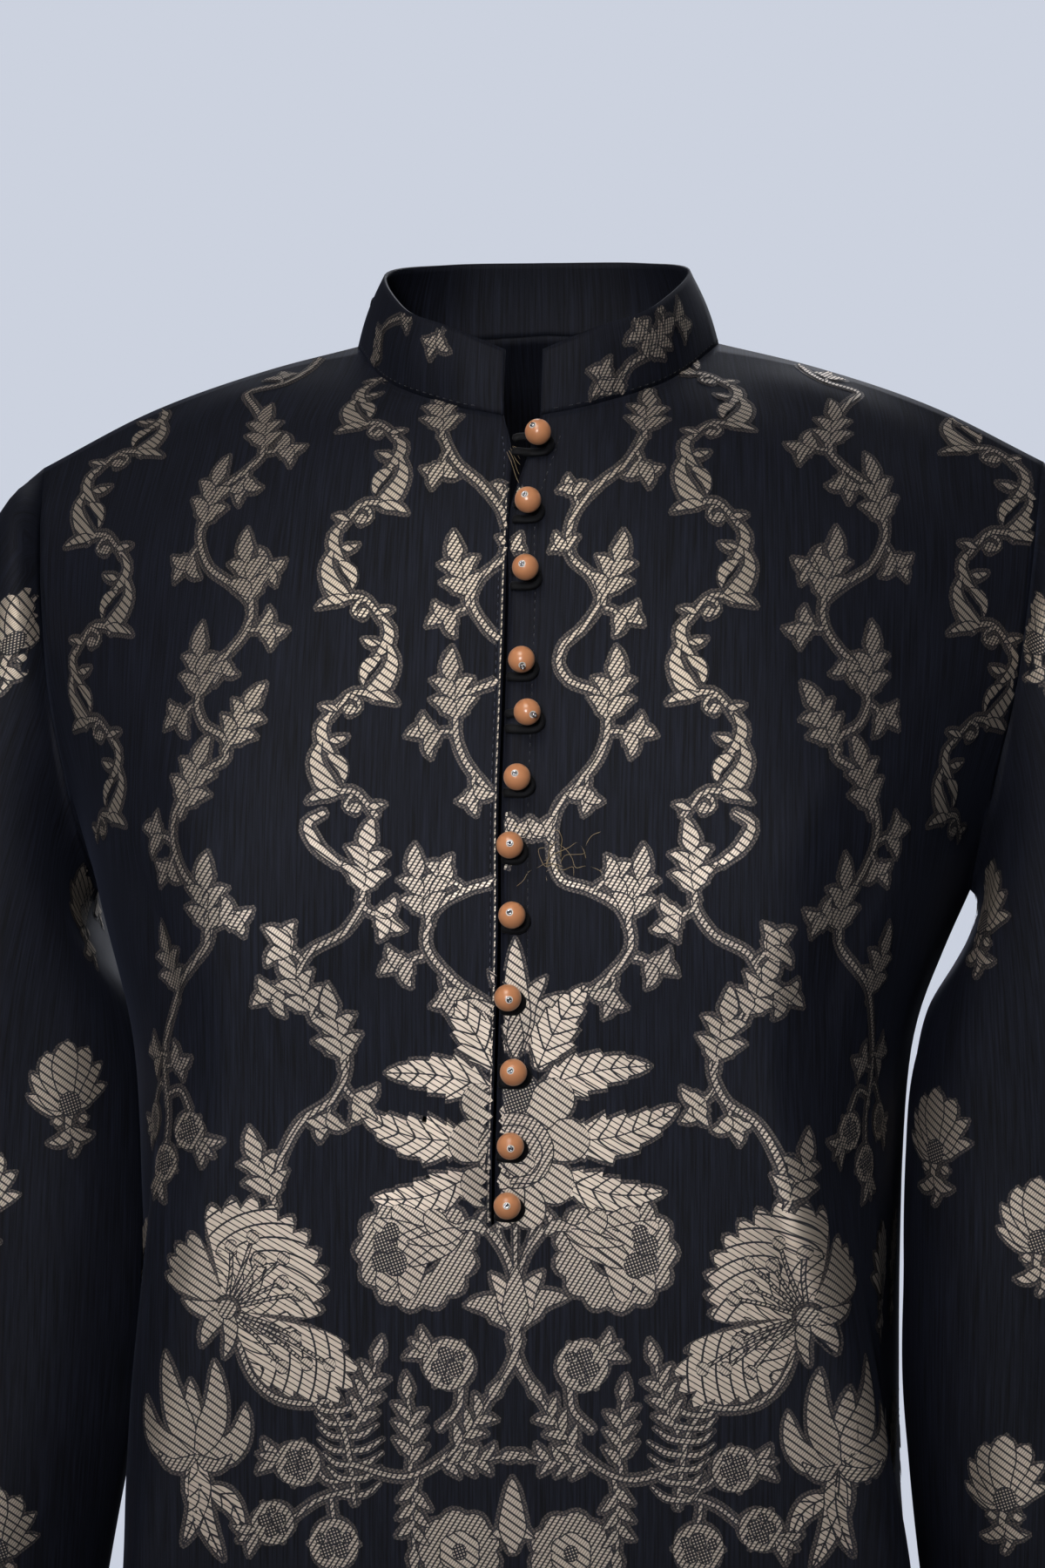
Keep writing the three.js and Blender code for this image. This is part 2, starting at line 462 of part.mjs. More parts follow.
// Closed wall of cloth thickness over the kept cells of a grid, rims included
function clothWall({ grid, normals, keep, closed }) {
  const columns = grid[0].length;
  const count = grid.length * columns;
  const position = new Float32Array(count * 6);
  grid.forEach((line, r) => line.forEach((p, c) => {
    const outer = p.clone().addScaledVector(normals[r][c], WALL / 2);
    const inner = p.clone().addScaledVector(normals[r][c], -WALL / 2);
    outer.toArray(position, (r * columns + c) * 3);
    inner.toArray(position, (count + r * columns + c) * 3);
  }));
  const index = [];
  const edges = new Map();
  for (let r = 0; r < grid.length - 1; r += 1) {
    for (let c = 0; c < (closed ? columns : columns - 1); c += 1) {
      if (!keep(r, c)) continue;
      const d = (c + 1) % columns;
      const a = r * columns + c;
      const b = (r + 1) * columns + c;
      const e = (r + 1) * columns + d;
      const f = r * columns + d;
      const slant = grid[r][c].distanceTo(grid[r + 1][d]) <= grid[r + 1][c].distanceTo(grid[r][d]) + 1e-6;
      const faces = slant ? [[a, b, e], [a, e, f]] : [[a, b, f], [b, e, f]];
      for (const [i, j, k] of faces) index.push(i, j, k, i + count, k + count, j + count);
      for (const [i, j] of [[a, b], [b, e], [e, f], [f, a]]) {
        if (edges.has(`${j},${i}`)) edges.delete(`${j},${i}`);
        else edges.set(`${i},${j}`, [i, j]);
      }
    }
  }
  // Both pieces of a seam split their rims along the same slant, from the higher point
  const flat = grid.flat();
  for (const [i, j] of edges.values()) {
    const rise = flat[i].z - flat[j].z || flat[i].y - flat[j].y;
    if (rise > 0) index.push(i, i + count, j + count, i, j + count, j);
    else index.push(i, i + count, j, j, i + count, j + count);
  }
  const geometry = new THREE.BufferGeometry();
  geometry.setAttribute('position', new THREE.BufferAttribute(position, 3));
  geometry.setIndex(index);
  geometry.computeVertexNormals();
  return geometry;
}

const group = new THREE.Group();
group.name = 'slit_front_shirt';
function add(name, geometry, finish) {
  const material = new THREE.MeshStandardMaterial(finish);
  material.name = name;
  const mesh = new THREE.Mesh(geometry, material);
  mesh.name = name;
  group.add(mesh);
}
for (const [name, panel] of Object.entries(panels)) add(name, clothWall(panel), cloth);

// Pearl: a drilled ball turned about its hole
const pearlProfile = [];
const holeRadius = PEARL_HOLE_D / 2;
const holeTurn = Math.asin(holeRadius / (PEARL_D / 2));
for (let k = 0; k <= 8; k += 1) {
  const a = -Math.PI / 2 + holeTurn + (k / 8) * (Math.PI - 2 * holeTurn);
  pearlProfile.push(new THREE.Vector2(PEARL_D / 2 * Math.cos(a), PEARL_D / 2 * Math.sin(a)));
}
pearlProfile.push(pearlProfile[0].clone());

trimPlaces.forEach(({ loop, pearl, hole }, i) => {
  const number = String(i + 1).padStart(2, '0');
  const path = new THREE.CatmullRomCurve3(loop, false, 'centripetal');
  const section = new THREE.Shape();
  section.absarc(0, 0, CORD_D / 2, 0, Math.PI * 2, false);
  const cord = new THREE.ExtrudeGeometry(section, { steps: 14, extrudePath: path, curveSegments: 4, bevelEnabled: false });
  add(`button_loop_${number}`, cord, cloth);
  const ball = new THREE.LatheGeometry(pearlProfile, 12);
  ball.applyQuaternion(new THREE.Quaternion().setFromUnitVectors(new THREE.Vector3(0, 1, 0), hole));
  ball.translate(pearl.x, pearl.y, pearl.z);
  add(`pearl_button_${number}`, ball, pearlFinish);
});

export default group;
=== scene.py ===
"""Long dark jacquard shirt with a slit front, twelve pearls and cord loops, dressed over its CAD frame."""

import logging
import math
from dataclasses import dataclass, field, replace
from enum import Enum
from typing import Any, Callable, Iterable, NamedTuple, Sequence

import bmesh
import bpy
import numpy as np
from mathutils import Matrix, Vector


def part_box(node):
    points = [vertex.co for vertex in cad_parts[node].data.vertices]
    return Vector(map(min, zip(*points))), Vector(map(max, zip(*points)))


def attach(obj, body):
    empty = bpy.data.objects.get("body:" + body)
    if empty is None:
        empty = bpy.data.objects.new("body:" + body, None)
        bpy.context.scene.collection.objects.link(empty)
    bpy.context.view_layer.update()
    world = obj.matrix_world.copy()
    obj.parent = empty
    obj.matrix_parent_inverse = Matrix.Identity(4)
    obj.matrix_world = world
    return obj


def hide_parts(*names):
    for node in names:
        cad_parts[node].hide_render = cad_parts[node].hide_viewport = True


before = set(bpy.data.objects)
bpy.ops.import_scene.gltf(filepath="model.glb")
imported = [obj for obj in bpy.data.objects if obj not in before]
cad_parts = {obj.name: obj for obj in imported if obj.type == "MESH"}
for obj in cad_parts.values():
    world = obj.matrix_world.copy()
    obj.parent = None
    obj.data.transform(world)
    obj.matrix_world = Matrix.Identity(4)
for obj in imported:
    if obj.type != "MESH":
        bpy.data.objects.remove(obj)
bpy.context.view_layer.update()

LOG = logging.getLogger("shirt")
MM = 0.001
BODY = "root"

STREAK_WIDE = 0.9  # millimetres, as measured across the uneven warp
STREAK_LONG = 34.0
NIGHT_NAVY = "#08090f"
WARP_NAVY = "#1f2331"
PALE_GREY = "#ccd2df"
THREAD_BLACK = "#07080c"

Point = tuple[float, float, float]
Mesh = bpy.types.Object
Array = np.ndarray
Material = bpy.types.Material
Tree = bpy.types.NodeTree
Node = bpy.types.Node
Socket = bpy.types.NodeSocket
Shape = bmesh.types.BMesh
Numbers = Sequence[float]
Places = Sequence[Numbers]


# Finishes


def srgb(code: str) -> tuple[float, float, float, float]:
    """Turns an sRGB hex colour to linear.

    Args:
        code: six hex digits, with or without the hash.

    Returns:
        Red, green, blue and alpha, linear.
    """
    raw = [int(code.lstrip("#")[i : i + 2], 16) / 255 for i in (0, 2, 4)]
    linear = [v / 12.92 if v <= 0.04045 else ((v + 0.055) / 1.055) ** 2.4 for v in raw]
    return (linear[0], linear[1], linear[2], 1.0)


def add_node(
    tree: Tree,
    kind: str,
    inputs: dict[str | int, Any] | None = None,
    **settings: Any,
) -> Node:
    """Adds a shader node with its settings and links.

    Args:
        tree: the node tree that takes it.
        kind: the node's type name without the ShaderNode prefix.
        inputs: values or output sockets by input name or number.
        settings: the node's own properties.

    Returns:
        The node.
    """
    node = tree.nodes.new("ShaderNode" + kind)
    for name, value in settings.items():
        setattr(node, name, value)
    for name, value in (inputs or {}).items():
        if isinstance(value, Socket):
            tree.links.new(value, node.inputs[name])
        else:
            node.inputs[name].default_value = value
    return node


@dataclass(frozen=True)
class Finish:
    """A material: each finish fills the shader of its own."""

    name: str

    def build(self) -> Material:
        """Makes the material.

        Returns:
            The new material, with its nodes.
        """
        material = bpy.data.materials.new(self.name)
        material.use_nodes = True
        tree = material.node_tree
        shader = tree.nodes["Principled BSDF"]
        self.dress(tree, shader)
        return material

    def dress(self, tree: Tree, shader: Node) -> None:
        """Sets the shader; each finish has its own way."""
        raise NotImplementedError

    @staticmethod
    def give(shader: Node, values: dict[str, Any]) -> None:
        """Sets the shader's own sockets by name."""
        for name, value in values.items():
            shader.inputs[name].default_value = value


def woven_ground(
    tree: Tree, uv: Socket, base: str, streak: str
) -> Socket:
    """Colour of the plain ground: thin upright streaks.

    Args:
        tree: the material's nodes.
        uv: cloth coordinates in metres.
        base: colour between the streaks.
        streak: colour of the strongest streak.

    Returns:
        The colour socket.
    """
    size = (1 / (STREAK_WIDE * MM), 1 / (STREAK_LONG * MM), 1)
    place = add_node(tree, "Mapping", {"Vector": uv, "Scale": size}).outputs["Vector"]
    streaks = add_node(tree, "TexNoise", {"Vector": place, "Scale": 1.0, "Detail": 3.0, "Roughness": 0.65})
    ramp = add_node(tree, "ValToRGB", {"Fac": streaks.outputs["Fac"]})
    for stop, position, colour in zip(ramp.color_ramp.elements, (0.36, 0.78), (base, streak)):
        stop.position = position
        stop.color = srgb(colour)
    return ramp.outputs["Color"]


def wave(
    tree: Tree, at: Socket, degrees: float, pitch: float, low: float, high: float
) -> Socket:
    """Even lines as a soft mask.

    Args:
        tree: the material's nodes.
        at: place in metres.
        degrees: direction across the lines.
        pitch: line spacing in millimetres.
        low: sine value that is still 0.
        high: sine value that is already 1.

    Returns:
        The mask socket, 0 between the lines and 1 on them.
    """
    k = 2 * math.pi / (pitch * MM)
    way = (k * math.cos(math.radians(degrees)), k * math.sin(math.radians(degrees)), 0)
    dot = add_node(tree, "VectorMath", {0: at, 1: way}, operation="DOT_PRODUCT").outputs["Value"]
    sine = add_node(tree, "Math", {0: dot}, operation="SINE").outputs[0]
    return add_node(
        tree, "MapRange", {"Value": sine, "From Min": low, "From Max": high}, interpolation_type="SMOOTHSTEP"
    ).outputs["Result"]


@dataclass(frozen=True)
class JacquardGround(Finish):
    """Fine cotton and silk jacquard ground, warp-faced and soft finished.

    The eye gets a near-black navy with thin upright streaks where the warp is uneven, almost no
    shine face on and a faint blue bloom where the cloth turns away.
    """

    base: str = NIGHT_NAVY
    streak: str = WARP_NAVY
    yarn_mm: float = 0.62  # real yarns are about 0.2 mm, drawn coarser so that they show

    def dress(self, tree: Tree, shader: Node) -> None:
        """Sets streaks, weave and bloom."""
        uv = add_node(tree, "UVMap", uv_map="cloth").outputs["UV"]
        tree.links.new(woven_ground(tree, uv, self.base, self.streak), shader.inputs["Base Color"])
        yarn = add_node(tree, "Mapping", {"Vector": uv, "Scale": (1 / (self.yarn_mm * MM),) * 3})
        weave = add_node(tree, "TexNoise", {"Vector": yarn.outputs["Vector"], "Scale": 1.0, "Detail": 2.0})
        height = weave.outputs["Fac"]
        bump = add_node(tree, "Bump", {"Height": height, "Strength": 0.25, "Distance": 0.25 * MM})
        tree.links.new(bump.outputs["Normal"], shader.inputs["Normal"])
        self.give(shader, {"Roughness": 0.72, "Specular IOR Level": 0.2, "Sheen Weight": 0.06})
        self.give(shader, {"Sheen Roughness": 0.45, "Sheen Tint": srgb("#7480a4")})


@dataclass(frozen=True)
class CordCloth(Finish):
    """The same cloth cut on the bias and rolled into a cord; its colour is set darker than the cloth's own,
    partly the cord's black and partly painted shade from the pearls above it, so the eye gets plain black
    with a soft edge.
    """

    # darker than the jacquard ground it is cut from: the cord's own black plus painted shade cast by the
    # pearls onto the loops
    base: str = "#06070a"

    def dress(self, tree: Tree, shader: Node) -> None:
        """Sets a dull black cloth: the cord's own dark colour, darkened further by painted shade from the
        pearls.
        """
        self.give(shader, {"Base Color": srgb(self.base), "Roughness": 0.7})
        self.give(shader, {"Specular IOR Level": 0.25, "Sheen Weight": 0.04})
        coords = add_node(tree, "TexCoord").outputs["Object"]
        yarn = add_node(tree, "TexNoise", {"Vector": coords, "Scale": 1600.0, "Detail": 2.0})
        bump = add_node(tree, "Bump", {"Height": yarn.outputs["Fac"], "Strength": 0.3, "Distance": 0.2 * MM})
        tree.links.new(bump.outputs["Normal"], shader.inputs["Normal"])


@dataclass(frozen=True)
class DyedPearl(Finish):
    """Imitation pearl, glass dipped in nacre lacquer and tumbled; the eye gets a warm glow under gloss."""

    base: str = "#da9566"

    def dress(self, tree: Tree, shader: Node) -> None:
        """Sets the lacquered colour."""
        self.give(shader, {"Base Color": srgb(self.base), "Roughness": 0.3, "IOR": 1.53})
        self.give(shader, {"Coat Weight": 0.5, "Coat Roughness": 0.12})
        self.give(shader, {"Sheen Weight": 0.2, "Sheen Tint": srgb("#ffd9b8")})


@dataclass(frozen=True)
class PlainFinish(Finish):
    """A finish that is the same all over, such as a silver bead or a cotton thread."""

    base: str
    roughness: float = 0.6
    metallic: float = 0.0
    sheen: float = 0.0

    def dress(self, tree: Tree, shader: Node) -> None:
        """Sets plain values."""
        self.give(shader, {"Base Color": srgb(self.base), "Roughness": self.roughness})
        self.give(shader, {"Metallic": self.metallic, "Sheen Weight": self.sheen})


@dataclass(frozen=True)
class PaintedFloor(Finish):
    """Matt emulsion rolled on a floor; the eye gets an even pale ground that runs into the backdrop."""

    base: str = "#8d94a4"
    light: str = PALE_GREY
    glow: float = 0.95

    def dress(self, tree: Tree, shader: Node) -> None:
        """Sets matt paint with a fine roller texture, and a light of its own that keeps it even and pale."""
        self.give(shader, {"Base Color": srgb(self.base), "Roughness": 0.9})
        self.give(shader, {"Emission Color": srgb(self.light), "Emission Strength": self.glow})
        coords = add_node(tree, "TexCoord").outputs["Object"]
        nap = add_node(tree, "TexNoise", {"Vector": coords, "Scale": 400.0, "Detail": 1.0})
        bump = add_node(tree, "Bump", {"Height": nap.outputs["Fac"], "Strength": 0.05, "Distance": 0.2 * MM})
        tree.links.new(bump.outputs["Normal"], shader.inputs["Normal"])


class Fill(Enum):
    """How the gold weft is bound in a figure."""

    HATCH = "hatch"
    STRIPE = "stripe"
    VEIN = "vein"
    FINE = "fine"
    HALO = "halo"


HATCH, STRIPE, VEIN, FINE, HALO = Fill

# Each binding's crossed lines: direction, pitch in millimetres, and the sine values for none and all
BINDINGS = {
    HATCH: ((-32, 1.6, -0.9, 0.1), (80, 1.1, -1.6, 0.3)),
    STRIPE: ((55, 2.5, -0.95, -0.45), (-35, 0.9, -2.2, 0.6)),
    VEIN: ((60, 1.9, -1.0, -0.6),),
    FINE: ((20, 1.1, -0.5, 0.9), (110, 1.1, -0.6, 0.9)),
    HALO: ((30, 1.2, -1.6, 0.7), (-60, 1.0, -1.6, 0.7)),
}


@dataclass(frozen=True)
class ZariWeft(Finish):
    """Zari, a flattened gilt strip wound on yarn and woven in as an extra weft.

    The eye gets beige gold where it faces the light and bronze brown where it turns away, broken
    by the binding of each figure. The bindings are drawn at about one and a half times their real
    spacing so that they show.
    """

    fill: Fill = HATCH
    gold: str = "#cabdac"
    halo: str = "#6f665f"
    base: str = NIGHT_NAVY
    streak: str = WARP_NAVY
    metal: float = 0.78
    rim: tuple[float, float] = (0.36, 0.62)  # where the figure's edge is still dark, and where it is gold
    vein_pitch: float = 3.1
    vein_slope: float = 1.1
    sparse: float = 0.85

    def gold_share(self, tree: Tree, uv: Socket) -> Socket:
        """How much gold shows, from 0 to 1.

        Args:
            tree: the material's nodes.
            uv: cloth coordinates in metres.

        Returns:
            The binding's lines, less the dark rim and a leaf's veins.
        """
        place = add_node(tree, "Attribute", attribute_name="rib").outputs["Vector"]
        rib = add_node(tree, "SeparateXYZ", {"Vector": place}).outputs
        shares = [wave(tree, uv, *lines) for lines in BINDINGS[self.fill]]
        edges = [(rib["X"], *self.rim)]
        if self.fill is VEIN:
            back = add_node(tree, "Math", {0: rib["Z"], 1: self.vein_slope}, operation="MULTIPLY").outputs[0]
            slant = add_node(tree, "Math", {0: rib["Y"], 1: back}, operation="SUBTRACT").outputs[0]
            vein = add_node(tree, "Math", {0: slant, 1: self.vein_pitch}, operation="PINGPONG").outputs[0]
            edges += [(vein, 0.3, 0.62), (rib["Z"], 0.18, 0.5)]
        if self.fill is HALO:
            shares.append(self.sparse)
            edges = []
        for value, low, high in edges:
            span = {"Value": value, "From Min": low, "From Max": high}
            soft = add_node(tree, "MapRange", span, interpolation_type="SMOOTHSTEP")
            shares.append(soft.outputs["Result"])
        shown = shares[0]
        for share in shares[1:]:
            shown = add_node(tree, "Math", {0: shown, 1: share}, operation="MULTIPLY").outputs[0]
        return shown

    def dress(self, tree: Tree, shader: Node) -> None:
        """Sets gold on ground by the binding."""
        uv = add_node(tree, "UVMap", uv_map="cloth").outputs["UV"]
        share = self.gold_share(tree, uv)
        gold = srgb(self.halo if self.fill is HALO else self.gold)
        colour = add_node(tree, "Mix", {"Factor": share}, data_type="RGBA")
        tree.links.new(woven_ground(tree, uv, self.base, self.streak), colour.inputs["A"])
        colour.inputs["B"].default_value = gold
        metal = add_node(tree, "Math", {0: share, 1: self.metal}, operation="MULTIPLY")
        rough = add_node(tree, "MapRange", {"Value": share, "To Min": 0.72, "To Max": 0.44})
        bump = add_node(tree, "Bump", {"Height": share, "Strength": 0.3, "Distance": 0.12 * MM})
        tree.links.new(colour.outputs["Result"], shader.inputs["Base Color"])
        tree.links.new(metal.outputs[0], shader.inputs["Metallic"])
        tree.links.new(rough.outputs["Result"], shader.inputs["Roughness"])
        tree.links.new(bump.outputs["Normal"], shader.inputs["Normal"])


# The cut: seams and sections in millimetres, as in the CAD source


class FrontSection(NamedTuple):
    """One line across half the front, from the slit to the valley before the side seam."""

    row: int
    line: float
    swing: float
    slit: Point
    inner: Point
    mid: Point
    crest: Point
    turn: Point
    valley: Point


class BackSection(NamedTuple):
    """One line across half the back, from its middle to near the edge."""

    row: int
    centre: Point
    inner: Point
    mid: Point
    blade: Point
    turn: Point
    near: Point


class SleeveRing(NamedTuple):
    """One ring of a sleeve: outer and inner end (x, z), middle depth, half depth, swing away."""

    row: int
    outer: tuple[float, float]
    inner: tuple[float, float]
    depth: float
    half: float
    away: float


class SleeveFold(NamedTuple):
    """One long soft fold down a sleeve."""

    turn: float
    drift: float
    width: float
    depth: float
    start: float
    end: float


class HoleWay(NamedTuple):
    """Where a pearl's drilled hole points, beside straight forward."""

    x: float
    z: float


def table(kind: Callable[..., Any], rows: Iterable[Sequence[Any]]) -> tuple:
    """A table's rows as named tuples of one kind."""
    return tuple(kind(*row) for row in rows)


NECK_HALF = 68.0
SHOULDER_HALF = 190.0
SHOULDER_DROP = 45.0
UNDERARM_HALF = 165.0
UNDERARM_DROP = 205.0
WAIST_HALF = 141.0
HEM_HALF = 206.0
LENGTH = 960.0
LEAN = -4.0
SIDE_CLEAR = 3.2
SLIT_ROWS = 14
FRONT_COLUMNS = 18
FRONT_NECK = 8
BACK_COLUMNS = 15
BACK_NECK = 5
ROWS = 27
ARMHOLE_ROWS = 10

NECK_FRONT = ((0, 3, 6, 8), ((6.8, -57, -32), (28, -50.5, -27), (54.5, -25, -15), (NECK_HALF, 10, 0)))
NECK_BACK = ((0, 2.5, 4, 5), ((0, 50, 8), (40, 43, 5), (61, 27, 2), (NECK_HALF, 10, 0)))
SHOULDER = (
    (0, 3, 6.5, 10),
    ((NECK_HALF, 10, 0), (104, 10.5, -9), (148, 12, -24), (SHOULDER_HALF, 14, -SHOULDER_DROP)),
)
ARMHOLE_FRONT = (
    (0, 2, 4, 6, 8, 9, 10),
    (
        (SHOULDER_HALF, 14, -SHOULDER_DROP),
        (187.5, -8, -68),
        (184, -24, -98),
        (179, -33, -132),
        (172, -30, -166),
        (168.5, -18, -187),
        (UNDERARM_HALF, 5, -UNDERARM_DROP),
    ),
)
ARMHOLE_BACK = (
    (0, 2, 4, 6, 8, 9, 10),
    (
        (SHOULDER_HALF, 14, -SHOULDER_DROP),
        (187.5, 32, -68),
        (184, 48, -99),
        (179, 55, -134),
        (172, 44, -168),
        (168.5, 28, -188),
        (UNDERARM_HALF, 5, -UNDERARM_DROP),
    ),
)
SIDE = (
    (10, 11, 12, 13, 14, 16, 18, 20, 22, 24, 27),
    (
        (UNDERARM_HALF, 5, -UNDERARM_DROP),
        (155.5, 6, -228),
        (146.5, 7, -254),
        (142, 8, -284),
        (WAIST_HALF, 9, -314),
        (WAIST_HALF - 1, 9.5, -374),
        (WAIST_HALF, 10, -440),
        (147, 10.5, -520),
        (163, 11, -620),
        (182, 12, -750),
        (HEM_HALF, 13, -LENGTH),
    ),
)
COLLAR_TOP = (
    (0, 3, 6, 8, 10.5, 13),
    ((6.8, -50, -7.5), (27, -44, 1.5), (47.5, -27, 11.5), (57.5, 7, 27), (37, 40, 34.5), (0, 49, 36)),
)
FRONT_STATIONS = (0, 3, 6, 9, 11.5, 14.5, 18)
FRONT_SECTIONS = table(FrontSection, (
    (1, 0.2, 0, (3.1, -66, -46), (30, -62, -41), (58, -44, -30), (79, -18, -18), (108, -11, -20),
     (148, -3, -36)),
    (2, -2.4, 0, (0.5, -76, -64), (33, -73, -58), (62, -59, -46), (87, -39, -35), (114, -27, -36),
     (150, -15, -49)),
    (4, -2.3, 0, (0.5, -92, -100), (36, -91, -95), (70, -84, -86), (98, -70, -76), (122, -57, -73),
     (153, -41, -81)),
    (6, -2.0, 0, (0.5, -105, -140), (40, -108, -137), (80, -106, -131), (108, -95, -124),
     (130, -79, -120), (156, -58, -122)),
    (8, -1.4, 0, (0.5, -115, -178), (42, -119, -176), (84, -122, -172), (112, -113, -167),
     (133, -95, -163), (155, -66, -162)),
    (10, 0.2, 0, (0.5, -120, -222), (44, -124, -220), (86, -127, -217), (110, -121, -214),
     (132, -102, -211), (151, -62, -207)),
    (12, 0, 0, (0.5, -120, -270), (42, -122, -269), (82, -124, -267), (101, -121, -266),
     (121, -103, -264), (138, -62, -260)),
    (14, -0.8, 1, (0.5, -120, -321), (44, -121, -321), (90, -122, -320), (109, -119.5, -319),
     (125, -102, -318), (134.5, -64, -316)),
    (16, -0.8, 3, (0.5, -120.5, -378), (47, -120.5, -378), (99, -120, -378), (121, -117.5, -378),
     (131, -101, -377), (133, -66, -376)),
    (18, -0.8, 5, (0.5, -121, -442), (51, -120.5, -442), (109, -118, -442), (133, -115.5, -442),
     (138, -99, -442), (133.5, -66, -441)),
    (20, 0, 5, (0.5, -122, -522), (56, -122, -522), (118, -118, -522), (145, -114, -522),
     (151, -97, -522), (140.5, -64, -521)),
    (22, 0, 4, (0.5, -124, -622), (62, -125, -622), (130, -118, -622), (160, -114, -622),
     (168, -95, -622), (157, -60, -621)),
    (24, 0, 3, (0.5, -126, -752), (70, -129, -752), (144, -118, -752), (178, -114, -752),
     (187, -93, -752), (176, -56, -751)),
    (27, 0, 2, (0.5, -129, -960), (80, -134, -960), (162, -119, -960), (202, -114, -960),
     (213, -90, -960), (200, -52, -960)),
))
BACK_STATIONS = (0, 2.5, 5, 8, 11, 13, 15)
BACK_SECTIONS = table(BackSection, (
    (1, (0, 61, -8), (38, 58, -9), (71, 38, -10), (100, 28, -16), (140, 27, -31), (164, 26, -44)),
    (2, (0, 70, -28), (38, 69, -28), (74, 57, -29), (106, 48, -34), (142, 42, -46), (165, 37, -57)),
    (4, (0, 82, -70), (42, 83, -70), (84, 77, -72), (122, 68, -78), (153, 59, -87), (170, 53, -94)),
    (6, (0, 88, -118), (45, 91, -118), (92, 87, -120), (130, 77, -124), (156, 68, -128),
     (169, 62, -131)),
    (8, (0, 88, -165), (46, 92, -165), (93, 88, -166), (130, 76, -167), (153, 63, -168),
     (163, 54, -168)),
    (10, (0, 84, -215), (46, 88, -215), (92, 83, -214), (128, 67, -211), (149, 44, -208),
     (159, 26, -206)),
    (12, (0, 75, -268), (46, 78, -267), (89, 73, -266), (119, 57, -263), (138, 34, -259),
     (144, 20, -257)),
    (14, (0, 72, -321), (46, 76, -321), (89, 70, -320), (118, 56, -319), (135, 34, -317),
     (140, 21, -316)),
    (18, (0, 82, -443), (48, 93, -443), (90, 77, -443), (120, 66, -442), (137, 38, -441),
     (141, 23, -441)),
    (22, (0, 90, -623), (57, 105, -623), (104, 84, -623), (140, 76, -622), (160, 42, -621),
     (164, 25, -621)),
    (27, (0, 100, -960), (72, 121, -960), (130, 95, -960), (176, 88, -960), (204, 46, -960),
     (208, 28, -960)),
))
SLEEVE_RINGS = table(SleeveRing, (
    (1, (198, -53), (168.4, -209), 10, 48, 0),
    (2, (207, -66), (168.6, -215.5), 8, 50, 0),
    (4, (225, -104), (162.5, -231), 5, 52, 0),
    (6, (240, -148), (151, -250), 2, 53, 0),
    (8, (251, -196), (143, -274), -2, 54, 0),
    (10, (258, -248), (140, -302), -4, 54, 0),
    (12, (261, -303), (139.5, -340), -6, 53, 0),
    (14, (261, -366), (141, -391), -8, 51, 3),
    (16, (260, -440), (148, -453), -10, 49, 8),
    (18, (261, -520), (159, -526), -12, 46, 10),
    (20, (264, -600), (173, -600), -15, 43, 11),
))
SLEEVE_FOLDS = table(SleeveFold, (
    (58, -46, 20, -5, 1, 13), (118, -30, 18, -4, 5, 19), (262, 34, 24, -5, 2, 15),
    (330, -24, 22, 4, 8, 20),
))
PEARL_HOLES = table(HoleWay, (
    (-0.45, 0.6), (-0.2, 0.42), (-0.2, 0.24), (0.15, -0.55), (0.6, -0.25), (-0.1, 0.3),
    (0.1, 0.15), (-0.1, 0.25), (0.2, -0.1), (-0.15, 0.2), (0.1, -0.1), (0.05, 0.1),
))


def along(stations: Numbers, points: Any, reading: Any) -> Array:
    """Smooth curve through points placed at rising stations.

    Args:
        stations: where the points stand, rising.
        points: the points, first axis as the stations.
        reading: the stations at which the curve is read.

    Returns:
        The points of the curve, first axis as the reading.
    """
    at = np.asarray(stations, float)
    spots = np.asarray(points, float)
    read = np.atleast_1d(np.asarray(reading, float))
    widen = (slice(None),) + (None,) * (spots.ndim - 1)
    gap = np.diff(at)[widen]
    secant = np.diff(spots, axis=0) / gap
    slope = np.empty_like(spots)
    slope[0] = secant[0]
    slope[-1] = secant[-1]
    slope[1:-1] = (gap[1:] * secant[:-1] + gap[:-1] * secant[1:]) / (gap[:-1] + gap[1:])
    i = np.clip(np.searchsorted(at, read, side="left") - 1, 0, len(at) - 2)
    h = (at[i + 1] - at[i])[widen]
    s = ((read - at[i]) / (at[i + 1] - at[i]))[widen]
    return (
        (2 * s**3 - 3 * s**2 + 1) * spots[i]
        + (s**3 - 2 * s**2 + s) * h * slope[i]
        + (-2 * s**3 + 3 * s**2) * spots[i + 1]
        + (s**3 - s**2) * h * slope[i + 1]
    )


def unit(ways: Array) -> Array:
    """The same directions, each of length 1."""
    return ways / np.maximum(np.linalg.norm(ways, axis=-1, keepdims=True), 1e-9)


def run_down(points: Array) -> Array:
    """Length along the first axis of a line or grid of points, from 0."""
    steps = np.linalg.norm(np.diff(points, axis=0), axis=-1)
    return np.concatenate([np.zeros((1, *steps.shape[1:])), np.cumsum(steps, axis=0)])


def ease(t: Any) -> Array:
    """Goes softly from 0 to 1 as t does."""
    c = np.clip(t, 0, 1)
    return c * c * (3 - 2 * c)


def leaned(points: Array) -> Array:
    """The points with the trunk's sideways set below the chest."""
    moved = points.copy()
    moved[..., 0] += LEAN * ease((-100 - points[..., 2]) / 200)
    return moved


def fine_steps(counts: Sequence[int], start: int = 0) -> Array:
    """Splits whole steps finer.

    Args:
        counts: into how many parts each step goes.
        start: the first whole step.

    Returns:
        The rising fractional steps, both ends included.
    """
    parts = [start + i + np.arange(n) / n for i, n in enumerate(counts)]
    return np.append(np.concatenate(parts), start + len(counts))


TRUNK_ROWS = fine_steps([5] * 14 + [6] * 4 + [8] * 2 + [9] * 2 + [12] * 2 + [13] * 3)
COLUMN_SPLIT = 4


